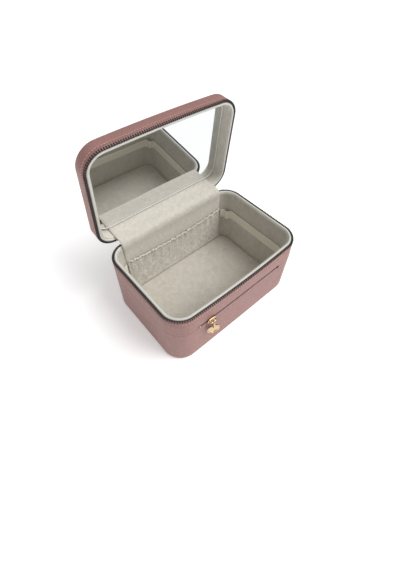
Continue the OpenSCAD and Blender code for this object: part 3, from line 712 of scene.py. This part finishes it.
def base_lining():
    """The wall lining from the floor to the collar: padded, so it swells 0.5 mm between floor and band."""
    z = np.array([PAD_BOTTOM, 6, 9, 14, 20, 27, 34, 40, 45, 55, 65, BOARD_TOP, 83, 86.5])
    swell = 0.5 * np.sin(np.pi * np.clip((z - 7) / 36, 0, 1)) ** 2
    face = np.stack([face_in(z) - swell, z], -1).tolist()
    top = RIM - 2.4
    inside = [[FLOOR_IN, PAD_BOTTOM]] + face + [[FACE_IN, top - 0.5], [FACE_IN - 0.2, top]]
    outside = [[FLOOR_IN, FLOOR], [face_in(FLOOR) - 1, FLOOR], [LINING_IN, BOARD_TOP],
               [LINING_IN, top - 0.2]]
    return tub("base_wall_lining", ALL_ROUND, outside, inside, base_form, LINING)


place(base_lining(), "base", "lining", "base_lining")


def floor_pad():
    """The loose pad: a sheet of foam in lining cloth, its edge rolled under.

    Rings shrink from the outline to the middle by a share; the top climbs from 2.6 mm near the edge
    to 3.4 mm in the middle, and a slow wave of 0.28 mm at most lies over it.
    """
    lo, hi = box_mm("floor_pad")
    edge = rounded(hi[0] - 0.6, hi[1] - 0.6, CORNER_R - face_in(PAD_BOTTOM) - 1.1, 12)
    share = 1 - np.array([0, 0, 0.006, 0.016, 0.035, 0.07, 0.12, 0.2, 0.3, 0.42, 0.56, 0.7, 0.84, 0.95])
    level = PAD_BOTTOM + np.array([0.1, 1.2, 1.9, 2.35, 2.65, 2.85, 2.95, 3.05, 3.15, 3.25, 3.3, 3.35,
                                   3.4, 3.4])
    grid = edge[None] * share[:, None, None]
    x, y = grid[..., 0], grid[..., 1]
    wave = 0.14 * (np.sin(x / 11.0 + 1) * np.sin(y / 9.0) + np.sin(x / 23.0))
    z = level[:, None] + wave * (share[:, None] < 0.96)
    points = np.concatenate([grid, z[..., None]], -1)
    n, m = points.shape[:2]
    faces = quads(n, m, wrap_cols=True).tolist()
    last = (n - 1) * m
    faces += [[last + i, last + (i + 1) % m, last + m] for i in range(m)]
    faces.append(list(range(m))[::-1])
    flat = np.concatenate([points.reshape(-1, 3), [[0, 0, PAD_BOTTOM + 3.4]]])
    return make("floor_cushion", base_form(flat), faces, LINING)


pad = place(floor_pad(), "base", "lining", "floor_pad")


def collar_profile(foot, top):
    """The collar's closed profile from its foot to its rounded edge."""
    r = (LINING_IN - COLLAR_IN) / 2
    way = math.copysign(1, top - foot)
    bead = [[COLLAR_IN + r - r * math.cos(a), top - way * r * (1 - math.sin(a))]
            for a in np.radians(np.arange(0, 181, 15))]
    return [[COLLAR_IN, foot]] + bead + [[LINING_IN, foot]]


place(belt("base_collar_welt", PARTED, collar_profile(BOARD_TOP, RIM - 0.4), base_form, COLLAR,
           closed=False), "base", "collar", "base_collar")


def tape_profile(foot, rim):
    """The zip tape: it stands inside the leather, its edge under the teeth 1.1 mm below the rim."""
    k = math.copysign(1, rim - foot)
    return [[1.25, foot], [1.25, rim - 3.8 * k], [1.5, rim - 2.8 * k], [1.5, rim - 1.3 * k],
            [1.7, rim - 1.1 * k], [2.4, rim - 1.1 * k], [2.75, rim - 1.6 * k], [2.75, foot]]


place(belt("base_zip_ribbon", PARTED, tape_profile(BOARD_TOP, RIM), base_form, TAPE, closed=False),
      "base", "tape", "base_zip_tape")


def teeth(name, rim, way, form):
    """The nylon coil: loops of filament across the wall, LOOP_PITCH apart, over a core cord.

    Each loop rises at 0.25 mm in from 3 mm below the rim, crosses at the rim and comes down at
    2.35 mm in. Its outer leg stands on the leather's turned edge, which shows between the legs.
    """
    core, normal = stations = plan(step=LOOP_PITCH, gap=BACK_GAP)
    bend = np.radians(np.linspace(0, 180, 5))
    bow = np.column_stack([-0.95 * np.cos(bend), 0.7 * np.sin(bend) - 1.15])
    loop = np.concatenate([[[-1.15, -3.0], [-1.1, -2.0]], bow, [[0.95, -2.2]]])
    shape, faces = tube(np.insert(loop, 1, 0, axis=1), WIRE_R, 6)
    cord = np.column_stack([core + normal * (CORNER_R - 1.75), np.full(len(core), rim - 0.9 * way)])
    return cast(name, [strewn(shape, faces, stations, 1.4, rim, way), tube(cord, WIRE_R, 6)], NYLON, form)


place(teeth("base_zip_coil", RIM, 1, base_form), "base", "zip", "base_zip_teeth")


def stitches(name, level, form):
    """A row of thread stitches in the crease, each thick in the middle and bowed 0.14 mm out."""
    run = np.linspace(-STITCH_HALF, STITCH_HALF, 5)
    bow = 0.14 * (1 - (run / STITCH_HALF) ** 2)
    shape, faces = tube(np.column_stack([run, bow, np.zeros(5)]), [0.2, 0.36, 0.4, 0.36, 0.2], 6)
    laid = shape[:, [1, 0, 2]] * [-1, 1, 1]
    points, faces = strewn(laid, faces, plan(step=STITCH_PITCH), 0.15, level)
    return make(name, form(points), faces, THREAD)


place(stitches("base_stitching", RIM - CREASE_DROP, base_form), "base", "leather")


# The elastic band

def elastic_band():
    """The band round the inside: the CAD's route, with a flat ribbed section carried along it.

    From 72 degrees in one back corner, along the side, the front and back up the other side. Near
    each corner it stands off the wall by 5 cos squared over 15 mm, where it isn't sewn down.
    """
    lo, hi = box_mm("elastic_band")
    r = CORNER_R - face_in(lo[2]) - 0.1
    a = r * math.radians(72)
    b = a + 2 * CORNER_Y
    c = b + r * math.pi / 2
    half = c + CORNER_X
    s = np.linspace(0, half, 190)
    ends = np.array([0, a, b, c, half])
    angle = np.radians(np.interp(s, ends, [72, 0, 0, -90, -90]))
    core = np.column_stack([np.interp(s, ends, CORNER_X * np.array([1, 1, 1, 1, 0])),
                            np.interp(s, ends, CORNER_Y * np.array([1, 1, -1, -1, -1]))])
    normal = np.column_stack([np.cos(angle), np.sin(angle)])
    off = np.minimum(np.abs(s - 0.62 * a), np.abs(s - (b + c) / 2)) / 15.0
    slack = np.where(off < 0.5, 5.0 * np.cos(np.pi * np.clip(off, 0, 0.5)) ** 2, 0.0)
    line = core + normal * (r - slack)[:, None]
    line = np.concatenate([line, line[:-1][::-1] * [-1, 1]])
    inward = np.concatenate([-normal, normal[:-1][::-1] * [1, -1]])
    run = np.concatenate([s, 2 * half - s[:-1][::-1]])
    height = hi[2] - lo[2]
    up = np.linspace(0.4, height - 0.4, 8)
    section = np.array([[0.15, 0.1]] + [[0.0, h] for h in up] + [[0.15, height - 0.1], [0.85, height - 0.1]]
                       + [[1.0, h] for h in up[::-1]] + [[0.85, 0.1]])
    flat = line[:, None] + inward[:, None] * section[None, :, :1]
    droop = 0.35 * np.sin(run / 17.0) * np.sin(np.pi * run / run[-1])
    z = lo[2] + section[None, :, 1] + droop[:, None]
    points, faces = skin(np.concatenate([flat, z[..., None]], -1))
    uv = np.stack(np.broadcast_arrays(run[:, None], section[None, :, 1]), -1)
    length = np.linalg.norm(np.diff(flat[:, 0], axis=0), axis=1).sum()
    return make("inner_elastic", base_form(points), faces, ELASTIC, uv), length, height


band, band_l, band_h = elastic_band()
place(band, "base", "lining", "elastic_band")


# The gathered pocket at the back

POCKET_W = box_mm("back_pocket")[1][0] * 2
POCKET_TOP = box_mm("back_pocket")[1][2]
# The hem's sag in the middle, the number of folds, and the width over which each side is sewn down
SAG = 5.0
GATHERS = 14
SEAM = 9.0


def hem_height(u):
    """The hem's height: it hangs 5 mm lower in the middle, with a small uneven ripple."""
    return POCKET_TOP - SAG * np.sin(np.pi * u) + 0.3 * np.sin(61 * u + 1) * np.sin(np.pi * u)


def flap_face(z):
    """The y of the flap's front face on the slanting lining at height z."""
    return HALF_D - face_in(z) - 1.474


def gathers(u, v):
    """The depth of the gathers: sharp uneven folds at the hem that fade towards the floor.

    The fold at u is (1 - cos) of 14 gathers with a slow phase drift, raised to a power, plus finer
    creases of 2.7 times the count that reach down only a sixth of the way.
    """
    phase = 2 * np.pi * GATHERS * u + 0.9 * np.sin(4 * np.pi * u) + 0.5 * np.sin(22 * u)
    fold = (0.5 - 0.5 * np.cos(phase)) ** 1.4
    fine = 0.5 - 0.5 * np.cos(2.7 * phase + 1.0)
    slow = 0.5 - 0.5 * np.cos(2 * np.pi * 2.3 * u + 0.6)
    return 1.1 * fold * v ** 2.2 + 0.35 * fine * v ** 8 + 0.8 * slow * v * (1 - v) * 2


def back_pocket():
    """The pocket's cloth: a sheet 0.7 mm thick from the floor to the hem, its sides sewn to the flap.

    Its middle stands 1.35 mm off the flap at the floor and 2.15 mm at the hem, plus the gathers, and
    comes back to the flap over SEAM mm at each side.
    """
    u, v = np.meshgrid(np.linspace(0, 1, 281), np.linspace(0, 1, 34) ** 0.85, indexing="xy")
    z = PAD_TOP + (hem_height(u) - PAD_TOP) * v
    side = smooth(0, SEAM, POCKET_W * np.minimum(u, 1 - u))
    off = 0.45 + side * (0.9 + 0.8 * v + gathers(u, v))
    x = POCKET_W * (u - 0.5)
    front, rear = (np.stack([x, flap_face(z) - off + t, z], -1) for t in (-0.35, 0.35))
    points, faces = two_sided(front, rear)
    uv = np.tile(np.stack([x, z], -1).reshape(-1, 2), (2, 1))
    piece = make("gathered_pocket", base_form(points), faces, POCKET, uv)
    down, across = front[1:, :-1] - front[:-1, :-1], front[:-1, 1:] - front[:-1, :-1]
    area = np.linalg.norm(np.cross(down, across), axis=-1).sum()
    tall = np.linalg.norm(np.diff(front, axis=0), axis=-1).sum(0).max()
    return piece, area / tall, tall


def pocket_hem():
    """The elastic hem: a cord 2.5 mm thick whose cloth is puckered every 4 to 5 mm.

    Its radius swells and its line wavers with the puckers, in two waves of unlike length.
    """
    u = np.linspace(0, 1, 420)
    z = hem_height(u) + 1.2
    end = POCKET_W * np.minimum(u, 1 - u)
    y = flap_face(z) - 1.9 - smooth(0, SEAM, end) * (1.0 + 0.5 * gathers(u, np.ones_like(u)))
    phase = 2 * np.pi * 37 * u + 2.4 * np.sin(17 * u)
    pucker = 1 + 0.3 * np.sin(phase) + 0.1 * np.sin(2 * np.pi * 23 * u)
    path = np.column_stack([(POCKET_W - 2) * (u - 0.5), y - 0.25 * np.sin(phase + 1),
                            z + 0.42 * np.sin(0.5 * phase)])
    points, faces = tube(path, 1.25 * pucker * (0.5 + 0.5 * smooth(0, 4, end)), 12)
    return make("pocket_hem", base_form(points), faces, FLAP)


pocket, pocket_flat, pocket_tall = back_pocket()
place(pocket, "base", "lining", "back_pocket")
hem = place(pocket_hem(), "base", "lining", "back_pocket_hem")


# The pocket zip

def zip_ribbons():
    """The two tapes behind the slot, 0.6 mm apart."""
    parts = []
    for side in (-1, 1):
        near, far = ZIP_Z + side * 0.3, ZIP_Z + side * 8.0
        outline = [[ZIP_X0 - 5, near], [ZIP_X1 + 5, near], [ZIP_X1 + 5, far], [ZIP_X0 - 5, far]]
        parts.append(stood(slab(outline, LEATHER_T - HALF_D, LEATHER_T - HALF_D + 0.6, 0.12)))
    return cast("pocket_zip_ribbon", parts, BROWN_TAPE, base_form)


def zip_coil():
    """The two rows of small coils in the slot; left of the slider they are open, thicker and leaning."""
    loop = np.array([[0.0, 0.55, ZIP_HALF], [0.0, 0.0, ZIP_HALF - 0.1], [0.0, -0.3, ZIP_HALF * 0.66],
                     [0.0, -0.25, ZIP_HALF * 0.42], [0.0, 0.2, 0.25]])
    pitch = 2.6
    parts = []
    for x0, x1, radius, lean in ((ZIP_X0 + pitch, SLIDER_X - 6.5, 0.42, 0.9),
                                 (SLIDER_X - 5.5, ZIP_X1 - pitch, 0.38, 0.3)):
        x = np.arange(x0, x1, pitch)
        shape, faces = tube(loop + [[1, 0, 0]] * loop[:, 2:] * lean, radius, 6)
        for side in (1.0, -1.0):
            origins = np.column_stack([x + pitch / 4 * side, np.full(len(x), 0.4 - HALF_D),
                                       np.full(len(x), ZIP_Z)])
            parts.append(scatter(shape, faces, origins, np.diag([side, 1.0, side])))
    return cast("pocket_zip_coil", parts, NYLON, base_form)


def bartack(name, x, thick, reach, material):
    """The sewn stop at one end of the zip: five threads side by side across the slot."""
    run = np.linspace(-1, 1, 7)
    out = -HALF_D - 0.1 - 0.5 * (1 - run ** 4)
    z = ZIP_Z + run * (ZIP_HALF + reach)
    parts = [tube(np.column_stack([np.full(7, x + k), out, z]), thick, 6)
             for k in np.linspace(-0.75, 0.75, 5)]
    return cast(name, parts, material, base_form)


place(zip_ribbons(), "base", "tape", "front_zip_tape")
place(zip_coil(), "base", "zip", "front_zip_teeth")
place(bartack("pocket_zip_bartack_left", ZIP_X0 + 1.0, 0.24, 0.5, THREAD), "base", "zip", "front_zip_stops")
place(bartack("pocket_zip_bartack_right", ZIP_X1 - 1.0, 0.36, 0.75, NYLON), "base", "zip", "front_zip_stops")


def pocket_bag():
    """The bag behind the front, in two flat halves, above and below the slit."""
    lo, hi = box_mm("front_pocket_bag")
    x = np.linspace(lo[0], hi[0], 30)
    parts = []
    for z0, z1 in ((lo[2], ZIP_Z - 4.3), (ZIP_Z + 4.3, hi[2])):
        outline = np.concatenate([np.column_stack([x, np.full(30, z0)]),
                                  np.column_stack([x[::-1], np.full(30, z1)])])
        parts.append(stood(slab(outline, lo[1], hi[1], 0.1)))
    return cast("pocket_bag", parts, LINING, base_form)


place(pocket_bag(), "base", "lining", "front_pocket_bag")


# The lid

def from_top(profile):
    """A lid profile, worked out from its top downwards, in the height of the shut lid."""
    return [[p[0], LID_TOP - p[1]] for p in profile]


def lid_cover():
    """The lid's leather: as the base's, its top crowned 1.4 mm over a thin foam."""
    outside, inside = cover_profiles(LID_TOP - LID_RIM - 3.0, LID_TOP - LID_RIM - CREASE_DROP)
    return tub("lid_leather", ALL_ROUND, from_top(outside), from_top(inside), open_lid, LEATHER, crown=1.4)


place(lid_cover(), "lid", "leather", "lid_cover")
place(tub("lid_stiffener", ALL_ROUND,
          from_top([[FLOOR_IN, 1.25]] + arc(4, 4, 2.75, 270, 180, 4) + [[1.25, 9]]),
          from_top([[FLOOR_IN, 2.55], [3, 2.55], [3, 9]]), open_lid, BOARD), "lid", "board", "lid_board")
place(belt("lid_padding", ALL_ROUND, [[3.05, LID_BAND], [LINING_IN, LID_BAND], [LINING_IN, LID_PLATE],
      [3.05, LID_PLATE]], open_lid, FOAM), "lid", "foam", "lid_foam")
place(belt("lid_wall_lining", ALL_ROUND,
           [[LINING_IN, LID_RIM + 2.6], [LINING_IN + 0.3, LID_RIM + 2.4], [FACE_IN - 0.2, LID_RIM + 2.4],
            [FACE_IN, LID_RIM + 2.8], [FACE_IN - 0.15, LID_RIM + 8], [FACE_IN, GLASS_FRONT - 1],
            [FACE_IN, GLASS_BACK], [FACE_IN + 6, GLASS_BACK], [FACE_IN + 6, LID_PLATE],
            [LINING_IN, LID_PLATE]], open_lid, FLAP), "lid", "lining", "lid_lining")
place(belt("lid_collar_welt", PARTED, collar_profile(LID_BAND, LID_RIM + 0.4), open_lid, COLLAR,
           closed=False), "lid", "collar", "lid_collar")
place(belt("lid_zip_ribbon", PARTED, tape_profile(LID_BAND, LID_RIM), open_lid, TAPE, closed=False),
      "lid", "tape", "lid_zip_tape")
place(teeth("lid_zip_coil", LID_RIM, -1, open_lid), "lid", "zip", "lid_zip_teeth")
place(stitches("lid_stitching", LID_RIM + CREASE_DROP, open_lid), "lid", "leather")


def glass_outline():
    """The glass's outline: a rectangle with round corners, its front edge bowed with the lid's wall."""
    back = HALF_D - FACE_IN - 4.2
    front = MIRROR_IN - HALF_D
    shape = rounded(HALF_W - MIRROR_IN, (back - front) / 2, CORNER_R - MIRROR_IN, 14,
                    (0.0, (back + front) / 2))
    # More points along the front edge let it follow the bow
    x = np.linspace(-CORNER_X, CORNER_X, 40)[1:-1]
    first = np.where(shape[:, 1] < front + 0.01)[0][0] + 1
    more = np.column_stack([x, np.full(len(x), front)])
    shape = np.concatenate([shape[:first], more, shape[first:]])
    return lid_form(np.insert(shape, 2, GLASS_FRONT, axis=1))[:, :2]


def mirror():
    """The glass: a flat plate whose front edge is ground to a bevel 1 mm wide."""
    points, faces = skin(stepped(glass_outline(), [(0.3, GLASS_BACK), (0, GLASS_BACK - 0.3),
                                                   (0, GLASS_FRONT + 0.9), (1.0, GLASS_FRONT)]))
    return make("mirror_plate", opened(points), faces, MIRROR, flat=True)


def painted_highlight_band():
    """A band 1.7 mm wide over the glass's bevelled edge, 0.15 mm proud of the glass, coloured near white as
    a painted highlight.
    """
    points, faces = skin(stepped(glass_outline(), [(-0.05, GLASS_FRONT + 0.3), (0.15, GLASS_FRONT - 0.15),
                                                   (1.6, GLASS_FRONT - 0.15), (1.8, GLASS_FRONT + 0.1)]),
                         closed=True)
    return make("mirror_edge_painted_highlight", opened(points), faces, EDGE_HIGHLIGHT)


def mirror_backing():
    """The board behind the glass."""
    edge = FACE_IN + 6.2
    outline = rounded(HALF_W - edge, HALF_D - edge, CORNER_R - edge, 8)
    points, faces = slab(outline, GLASS_BACK, LID_PLATE, 0.1)
    return make("mirror_adhesive", opened(points), faces, BOARD)


place(mirror(), "lid", "mirror", "mirror_glass")
place(painted_highlight_band(), "lid", "mirror")
place(mirror_backing(), "lid", "board", "mirror_backing")


# The two sheets that cross the hinge

def bent_sheet(name, path, half_w, material, wave=0.0, rows=90, cols=61):
    """A sheet 1 mm thick along a path of [y, z] points, rounded by a spline.

    The centre line is a Catmull-Rom curve through the points. Each side lies half the thickness off
    along the line's normal, thinner at its two ends, and a wave across it loosens the middle.
    """
    p = np.array(path, float)
    p = np.concatenate([[2 * p[0] - p[1]], p, [2 * p[-1] - p[-2]]])
    count = len(path) - 1
    t = np.linspace(0, count, rows)
    k = np.minimum(t.astype(int), count - 1)
    f = (t - k)[:, None]
    a, b, c, d = p[k], p[k + 1], p[k + 2], p[k + 3]
    line = 0.5 * (2 * b + (c - a) * f + (2 * a - 5 * b + 4 * c - d) * f ** 2
                  + (3 * b - a - 3 * c + d) * f ** 3)
    along = np.gradient(line, axis=0)
    along /= np.linalg.norm(along, axis=1)[:, None]
    out = np.column_stack([-along[:, 1], along[:, 0]])
    run = np.concatenate([[0], np.cumsum(np.linalg.norm(np.diff(line, axis=0), axis=1))])
    x = np.linspace(-half_w, half_w, cols)
    lift = wave * np.sin(x / 19.0 + 0.6)[None] * np.sin(np.pi * run / run[-1])[:, None] ** 2
    edge = 0.5 * np.sqrt(np.clip(1 - (np.abs(x) / half_w) ** 60, 0.05, 1))
    sides = []
    for way in (1, -1):
        y = line[:, None] + out[:, None] * (lift + way * edge[None])[..., None]
        sides.append(np.concatenate([np.broadcast_to(x[None, :, None], y.shape[:2] + (1,)), y], -1))
    points, faces = two_sided(*sides)
    return make(name, points, faces, material), run[-1]


def on_open_lid(places):
    """Points [y, z] of the shut lid, turned open."""
    return [opened(np.array([0.0, y, z]))[1:].tolist() for y, z in places]


FLAP_W = 83.0
flap_foot = box_mm("base_hinge_lining")[0][2]
flap_path = [[flap_face(z) + 0.5, z] for z in (flap_foot, 66.0, BOARD_TOP, 84.0)]
flap_path += [[62.9, 89.0], [64.6, 93.4], [67.9, 95.8], [72.5, 96.6]]
flap_path += on_open_lid([(62.6, LID_RIM + 4.5), (62.3, LID_RIM + 10), (61.8, GLASS_FRONT - 0.5),
                          (61.4, GLASS_BACK - 0.6)])
flap, flap_l = bent_sheet("hinge_flap", flap_path, FLAP_W, FLAP, wave=0.25)
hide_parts("base_hinge_lining", "lid_hinge_lining")
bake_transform(flap)

STRIP_W = box_mm("base_hinge_strip")[1][0]
STRIP_Y = HALF_D + 0.5
strip_foot = box_mm("base_hinge_strip")[0][2]
strip_path = [[STRIP_Y, strip_foot + z] for z in (0, 6, 11.5)]
strip_path += on_open_lid([(STRIP_Y, LID_RIM + z) for z in (5.5, 11, 17)])
strip, strip_l = bent_sheet("hinge_strip", strip_path, STRIP_W, LEATHER, rows=60, cols=41)
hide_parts("base_hinge_strip", "lid_hinge_strip")
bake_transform(strip)


# The sliders and pulls

PLATE_Y = -HALF_D - 0.6
BAR_Y = joint("link_swing")["pos_m"][1] * 1000
HOLE_Z = joint("disc_swing")["pos_m"][2] * 1000
DISC_AXIS = joint("disc_swing")["axis"]
LINK_BEND = 2.0
MAIN_Y = HALF_D - 1.4
MAIN_Z = RIM + 0.3


def wedge(length, wide, narrow, n=40):
    """A slider's outline: a rounded wedge, its half height easing from wide to narrow."""
    t = np.linspace(0, 2 * math.pi, n, endpoint=False)
    a = np.sign(np.cos(t)) * np.abs(np.cos(t)) ** 0.55 * length / 2
    half = narrow + (wide - narrow) * (0.5 - 0.5 * np.tanh(a / (0.25 * length)))
    return np.column_stack([a, half * np.sign(np.sin(t)) * np.abs(np.sin(t)) ** 0.55])


def arch(half, rise):
    """A bridge's line: a flattened half ellipse, half wide to each side and rise high."""
    t = np.linspace(0, math.pi, 17)
    a = half * np.sign(np.cos(t)) * np.abs(np.cos(t)) ** 0.4
    return np.column_stack([a, rise * np.abs(np.sin(t)) ** 0.4])


def pocket_slider():
    """The pocket zip's slider: two wedge plates, a post between them, an arched bridge and two ridges."""
    inner = SLIDER[1][1]
    plates = [slab(wedge(12, 4.0, 3.1), PLATE_Y - 1.2, PLATE_Y, 0.35),
              slab(wedge(11.6, 3.9, 3.0), inner - 0.6, inner, 0.15),
              slab(rounded(2.0, 0.15, 0.14, 3), PLATE_Y - 0.4, inner - 0.2, 0.02)]
    parts = [stood(plate, [SLIDER_X, 0, ZIP_Z]) for plate in plates]
    line = arch(4.0, PLATE_Y - 0.8 - BAR_Y)
    bar = np.column_stack([line[:, 0] + SLIDER_X, PLATE_Y - 0.8 - line[:, 1], np.full(len(line), ZIP_Z)])
    parts.append(tube(bar, 0.8, 12))
    for rise in (2.6, -2.6):
        ridge = np.column_stack([np.linspace(-5, 5, 9) + SLIDER_X, np.full(9, PLATE_Y - 1.25),
                                 np.full(9, ZIP_Z + rise)])
        parts.append(tube(ridge, 0.3, 8))
    return cast("pocket_zip_slider", parts, GOLD)


place(pocket_slider(), "slider", "gold", "pocket_slider")


def hung(points):
    """Turns points on the swing's upright, x and y about it, so that y lies along the disc's axis."""
    x, y = points[:, 0], points[:, 1]
    return np.column_stack([SLIDER_X + DISC_AXIS[1] * x + DISC_AXIS[0] * y,
                            BAR_Y - DISC_AXIS[0] * x + DISC_AXIS[1] * y, points[:, 2]])


def pull_link():
    """The link: a long ring of round wire, square to the disc."""
    upper = np.radians(np.linspace(0, 180, 13))
    lower = upper + math.pi
    ring = [[0, LINK_BEND * np.cos(t), ZIP_Z + LINK_BEND * np.sin(t)] for t in upper]
    ring += [[0, LINK_BEND * np.cos(t), HOLE_Z + LINK_BEND * (1 + np.sin(t))] for t in lower]
    points, faces = tube(hung(np.array(ring)), 0.7, 12, closed=True)
    return make("pull_ring", points, faces, GOLD)


place(pull_link(), "link", "gold", "pull_link")


def pull_disc():
    """The round pull: a plain dished disc with a raised rim and a hole near its edge.

    Rings of 72 points run from the hole's edge out over the front, round the edge and back in over the
    rear. The ring between hole and rim changes from one circle to the other.
    """
    lo, hi = box_mm("pull_disc")
    r = (hi[2] - lo[2]) / 2
    z = (hi[2] + lo[2]) / 2
    rings = [(1.82, 1.0, 0.7), (1.7, 1.0, 0.55), (1.7, 1.0, -0.55), (1.85, 1.0, -0.7), (3.4, 0.62, -0.65),
             (5.6, 0.3, -0.58), (7.4, 0.08, -0.65), (r - 1.45, 0, -0.7), (r - 1.2, 0, -0.88),
             (r - 0.95, 0, -1.0), (r - 0.4, 0, -1.0), (r - 0.1, 0, -0.88), (r, 0, -0.65), (r, 0, 0.45),
             (r - 0.25, 0, 0.7), (7.4, 0.08, 0.7), (5.6, 0.3, 0.7), (3.4, 0.62, 0.7)]
    t = np.linspace(0, 2 * math.pi, 72, endpoint=False)
    grid = [np.column_stack([q * np.cos(t), np.full(72, y), z + k * (HOLE_Z - z) + q * np.sin(t)])
            for q, k, y in rings]
    points, faces = skin(np.stack(grid), closed=True)
    return make("round_pull", hung(points), faces, GOLD)


place(pull_disc(), "disc", "gold", "pull_disc")


def main_slider(node):
    """A main slider: two wedge plates 3 mm apart, a post and a bridge, half way between base and lid."""
    lo, hi = box_mm(node)
    plates = [slab(wedge(11, 2.8, 2.5), MAIN_Y + low, MAIN_Y + low + 0.9, 0.25) for low in (-2.4, 1.5)]
    plates.append(slab(rounded(0.9, 0.9, 0.88, 6), MAIN_Y - 1.7, MAIN_Y + 1.7, 0.05))
    parts = [stood(plate, [0, 0, MAIN_Z]) for plate in plates]
    line = arch(3.9, 2.1)
    bar = np.column_stack([line[:, 0], MAIN_Y + 2.4 + line[:, 1], np.full(len(line), MAIN_Z)])
    parts.append(tube(bar, 0.7, 12))
    return cast(node + "_cast", parts, GOLD, lambda p: opened(p + [(lo[0] + hi[0]) / 2, 0, 0], 0.5))


def main_pull(node, swing):
    """A main pull: a tongue of plate with a rounded foot, a raised border and an eye round the bridge."""
    lo, hi = box_mm(node)
    half = (hi[0] - lo[0]) / 2
    bar = np.array([(lo[0] + hi[0]) / 2] + [v * 1000 for v in joint(swing)["pos_m"][1:]])
    t = np.radians(np.linspace(180, 360, 17))
    foot = np.column_stack([half * np.cos(t), half * np.sin(t)])
    tongue = np.concatenate([[[half * 0.8, -1.2], [-half * 0.8, -1.2]], foot + [0, -18]])
    border = np.concatenate([[[half * 0.55, -4.0], [-half * 0.55, -4.0]], foot * 0.62 + [0, -17.6]])
    ring = np.radians(np.linspace(0, 360, 28, endpoint=False))
    section = [(1.0, -half + 0.3), (1.0, half - 0.3), (1.15, half), (1.6, half), (1.8, half - 0.3),
               (1.8, -half + 0.3), (1.6, -half), (1.15, -half)]
    eye, wound = skin(np.stack([np.column_stack([np.full(28, a), r * np.cos(ring), r * np.sin(ring)])
                                for r, a in section]), closed=True)
    if volume(eye, wound) < 0:
        wound = [f[::-1] for f in wound]
    raised = tube(np.insert(border, 1, 0.72, axis=1), 0.25, 8, closed=True)
    return cast(node + "_cast", [stood(slab(tongue, -0.7, 0.7, 0.3)), raised, (eye, wound)], GOLD,
                lambda p: p + bar)


for side in ("left", "right"):
    place(main_slider("main_slider_" + side), "main_sliders", "gold", "main_slider_" + side)
    place(main_pull("main_pull_" + side, side + "_pull_swing"), side + "_pull", "gold", "main_pull_" + side)


# The floor, the light and the camera

def floor():
    """A wide sheet of white paper on a dim light table, so that shadows on it stay pale."""
    paper = mottled("white_paper", 3.0, 2.0, "#FBFBFB", "#FFFFFF", Roughness=0.9, Specular_IOR_Level=0.1,
                    Emission_Color=(1.0, 1.0, 1.0, 1.0), Emission_Strength=0.26)
    corners = np.array([[-1, -1], [1, -1], [1, 1], [-1, 1]]) * 9000.0
    sheet = make("paper_floor", np.column_stack([corners, np.full(4, -0.05)]), [[0, 1, 2, 3]], paper)


def sun(name, direction, strength, spread):
    """A distant soft light that shines from a direction, its disc "spread" degrees wide."""
    lamp = bpy.data.lights.new(name, "SUN")
    lamp.energy = strength
    lamp.angle = math.radians(spread)
    piece = bpy.data.objects.new(name, lamp)
    piece.rotation_euler = Vector(direction).to_track_quat("Z", "Y").to_euler()
    bpy.context.scene.collection.objects.link(piece)


def world(strength):
    """A white room: brighter overhead than at the sides, so that metal has something to show."""
    room = bpy.data.worlds.new("room")
    bpy.context.scene.world = room
    room.use_nodes = True
    tree = room.node_tree
    way = add(tree, "TexCoord", {}).outputs["Generated"]
    apart = add(tree, "SeparateXYZ", {0: way})
    level = add(tree, "MapRange", {0: apart.outputs[2], 1: -0.1, 2: 0.7, 3: 0.72, 4: 1.15})
    power = add(tree, "Math", {0: level.outputs[0], 1: strength}, operation="MULTIPLY")
    tree.links.new(power.outputs[0], tree.nodes["Background"].inputs["Strength"])
    tree.nodes["Background"].inputs["Color"].default_value = (1, 1, 1, 1)


def camera():
    """The photograph's view, from the direction, distance and lens that its edges give."""
    az, el, roll = (math.radians(a) for a in (-42.42, 47.71, 1.84))
    target = np.array([6.29, 18.08, 71.77])
    back = np.array([math.sin(az) * math.cos(el), -math.cos(az) * math.cos(el), math.sin(el)])
    right = np.cross(-back, [0, 0, 1])
    right /= np.linalg.norm(right)
    up = np.cross(right, -back)
    side = right * math.cos(roll) + up * math.sin(roll)
    top = -right * math.sin(roll) + up * math.cos(roll)
    spot = (target + 461.54 * back) / 1000
    lens = bpy.data.cameras.new("photo_camera")
    lens.sensor_width = 36.0
    lens.lens = 21.805
    lens.shift_y = -0.0720
    lens.clip_start = 0.01
    piece = bpy.data.objects.new("photo_camera", lens)
    matrix = Matrix(np.column_stack([side, top, back]).tolist()).to_4x4()
    matrix.translation = Vector(spot)
    piece.matrix_world = matrix
    bpy.context.scene.collection.objects.link(piece)
    bpy.context.scene.camera = piece


floor()
sun("key_light", (0.75, -0.8, 1.5), 2.2, 40)
world(0.44)
camera()
bpy.context.scene.view_settings.view_transform = "Standard"
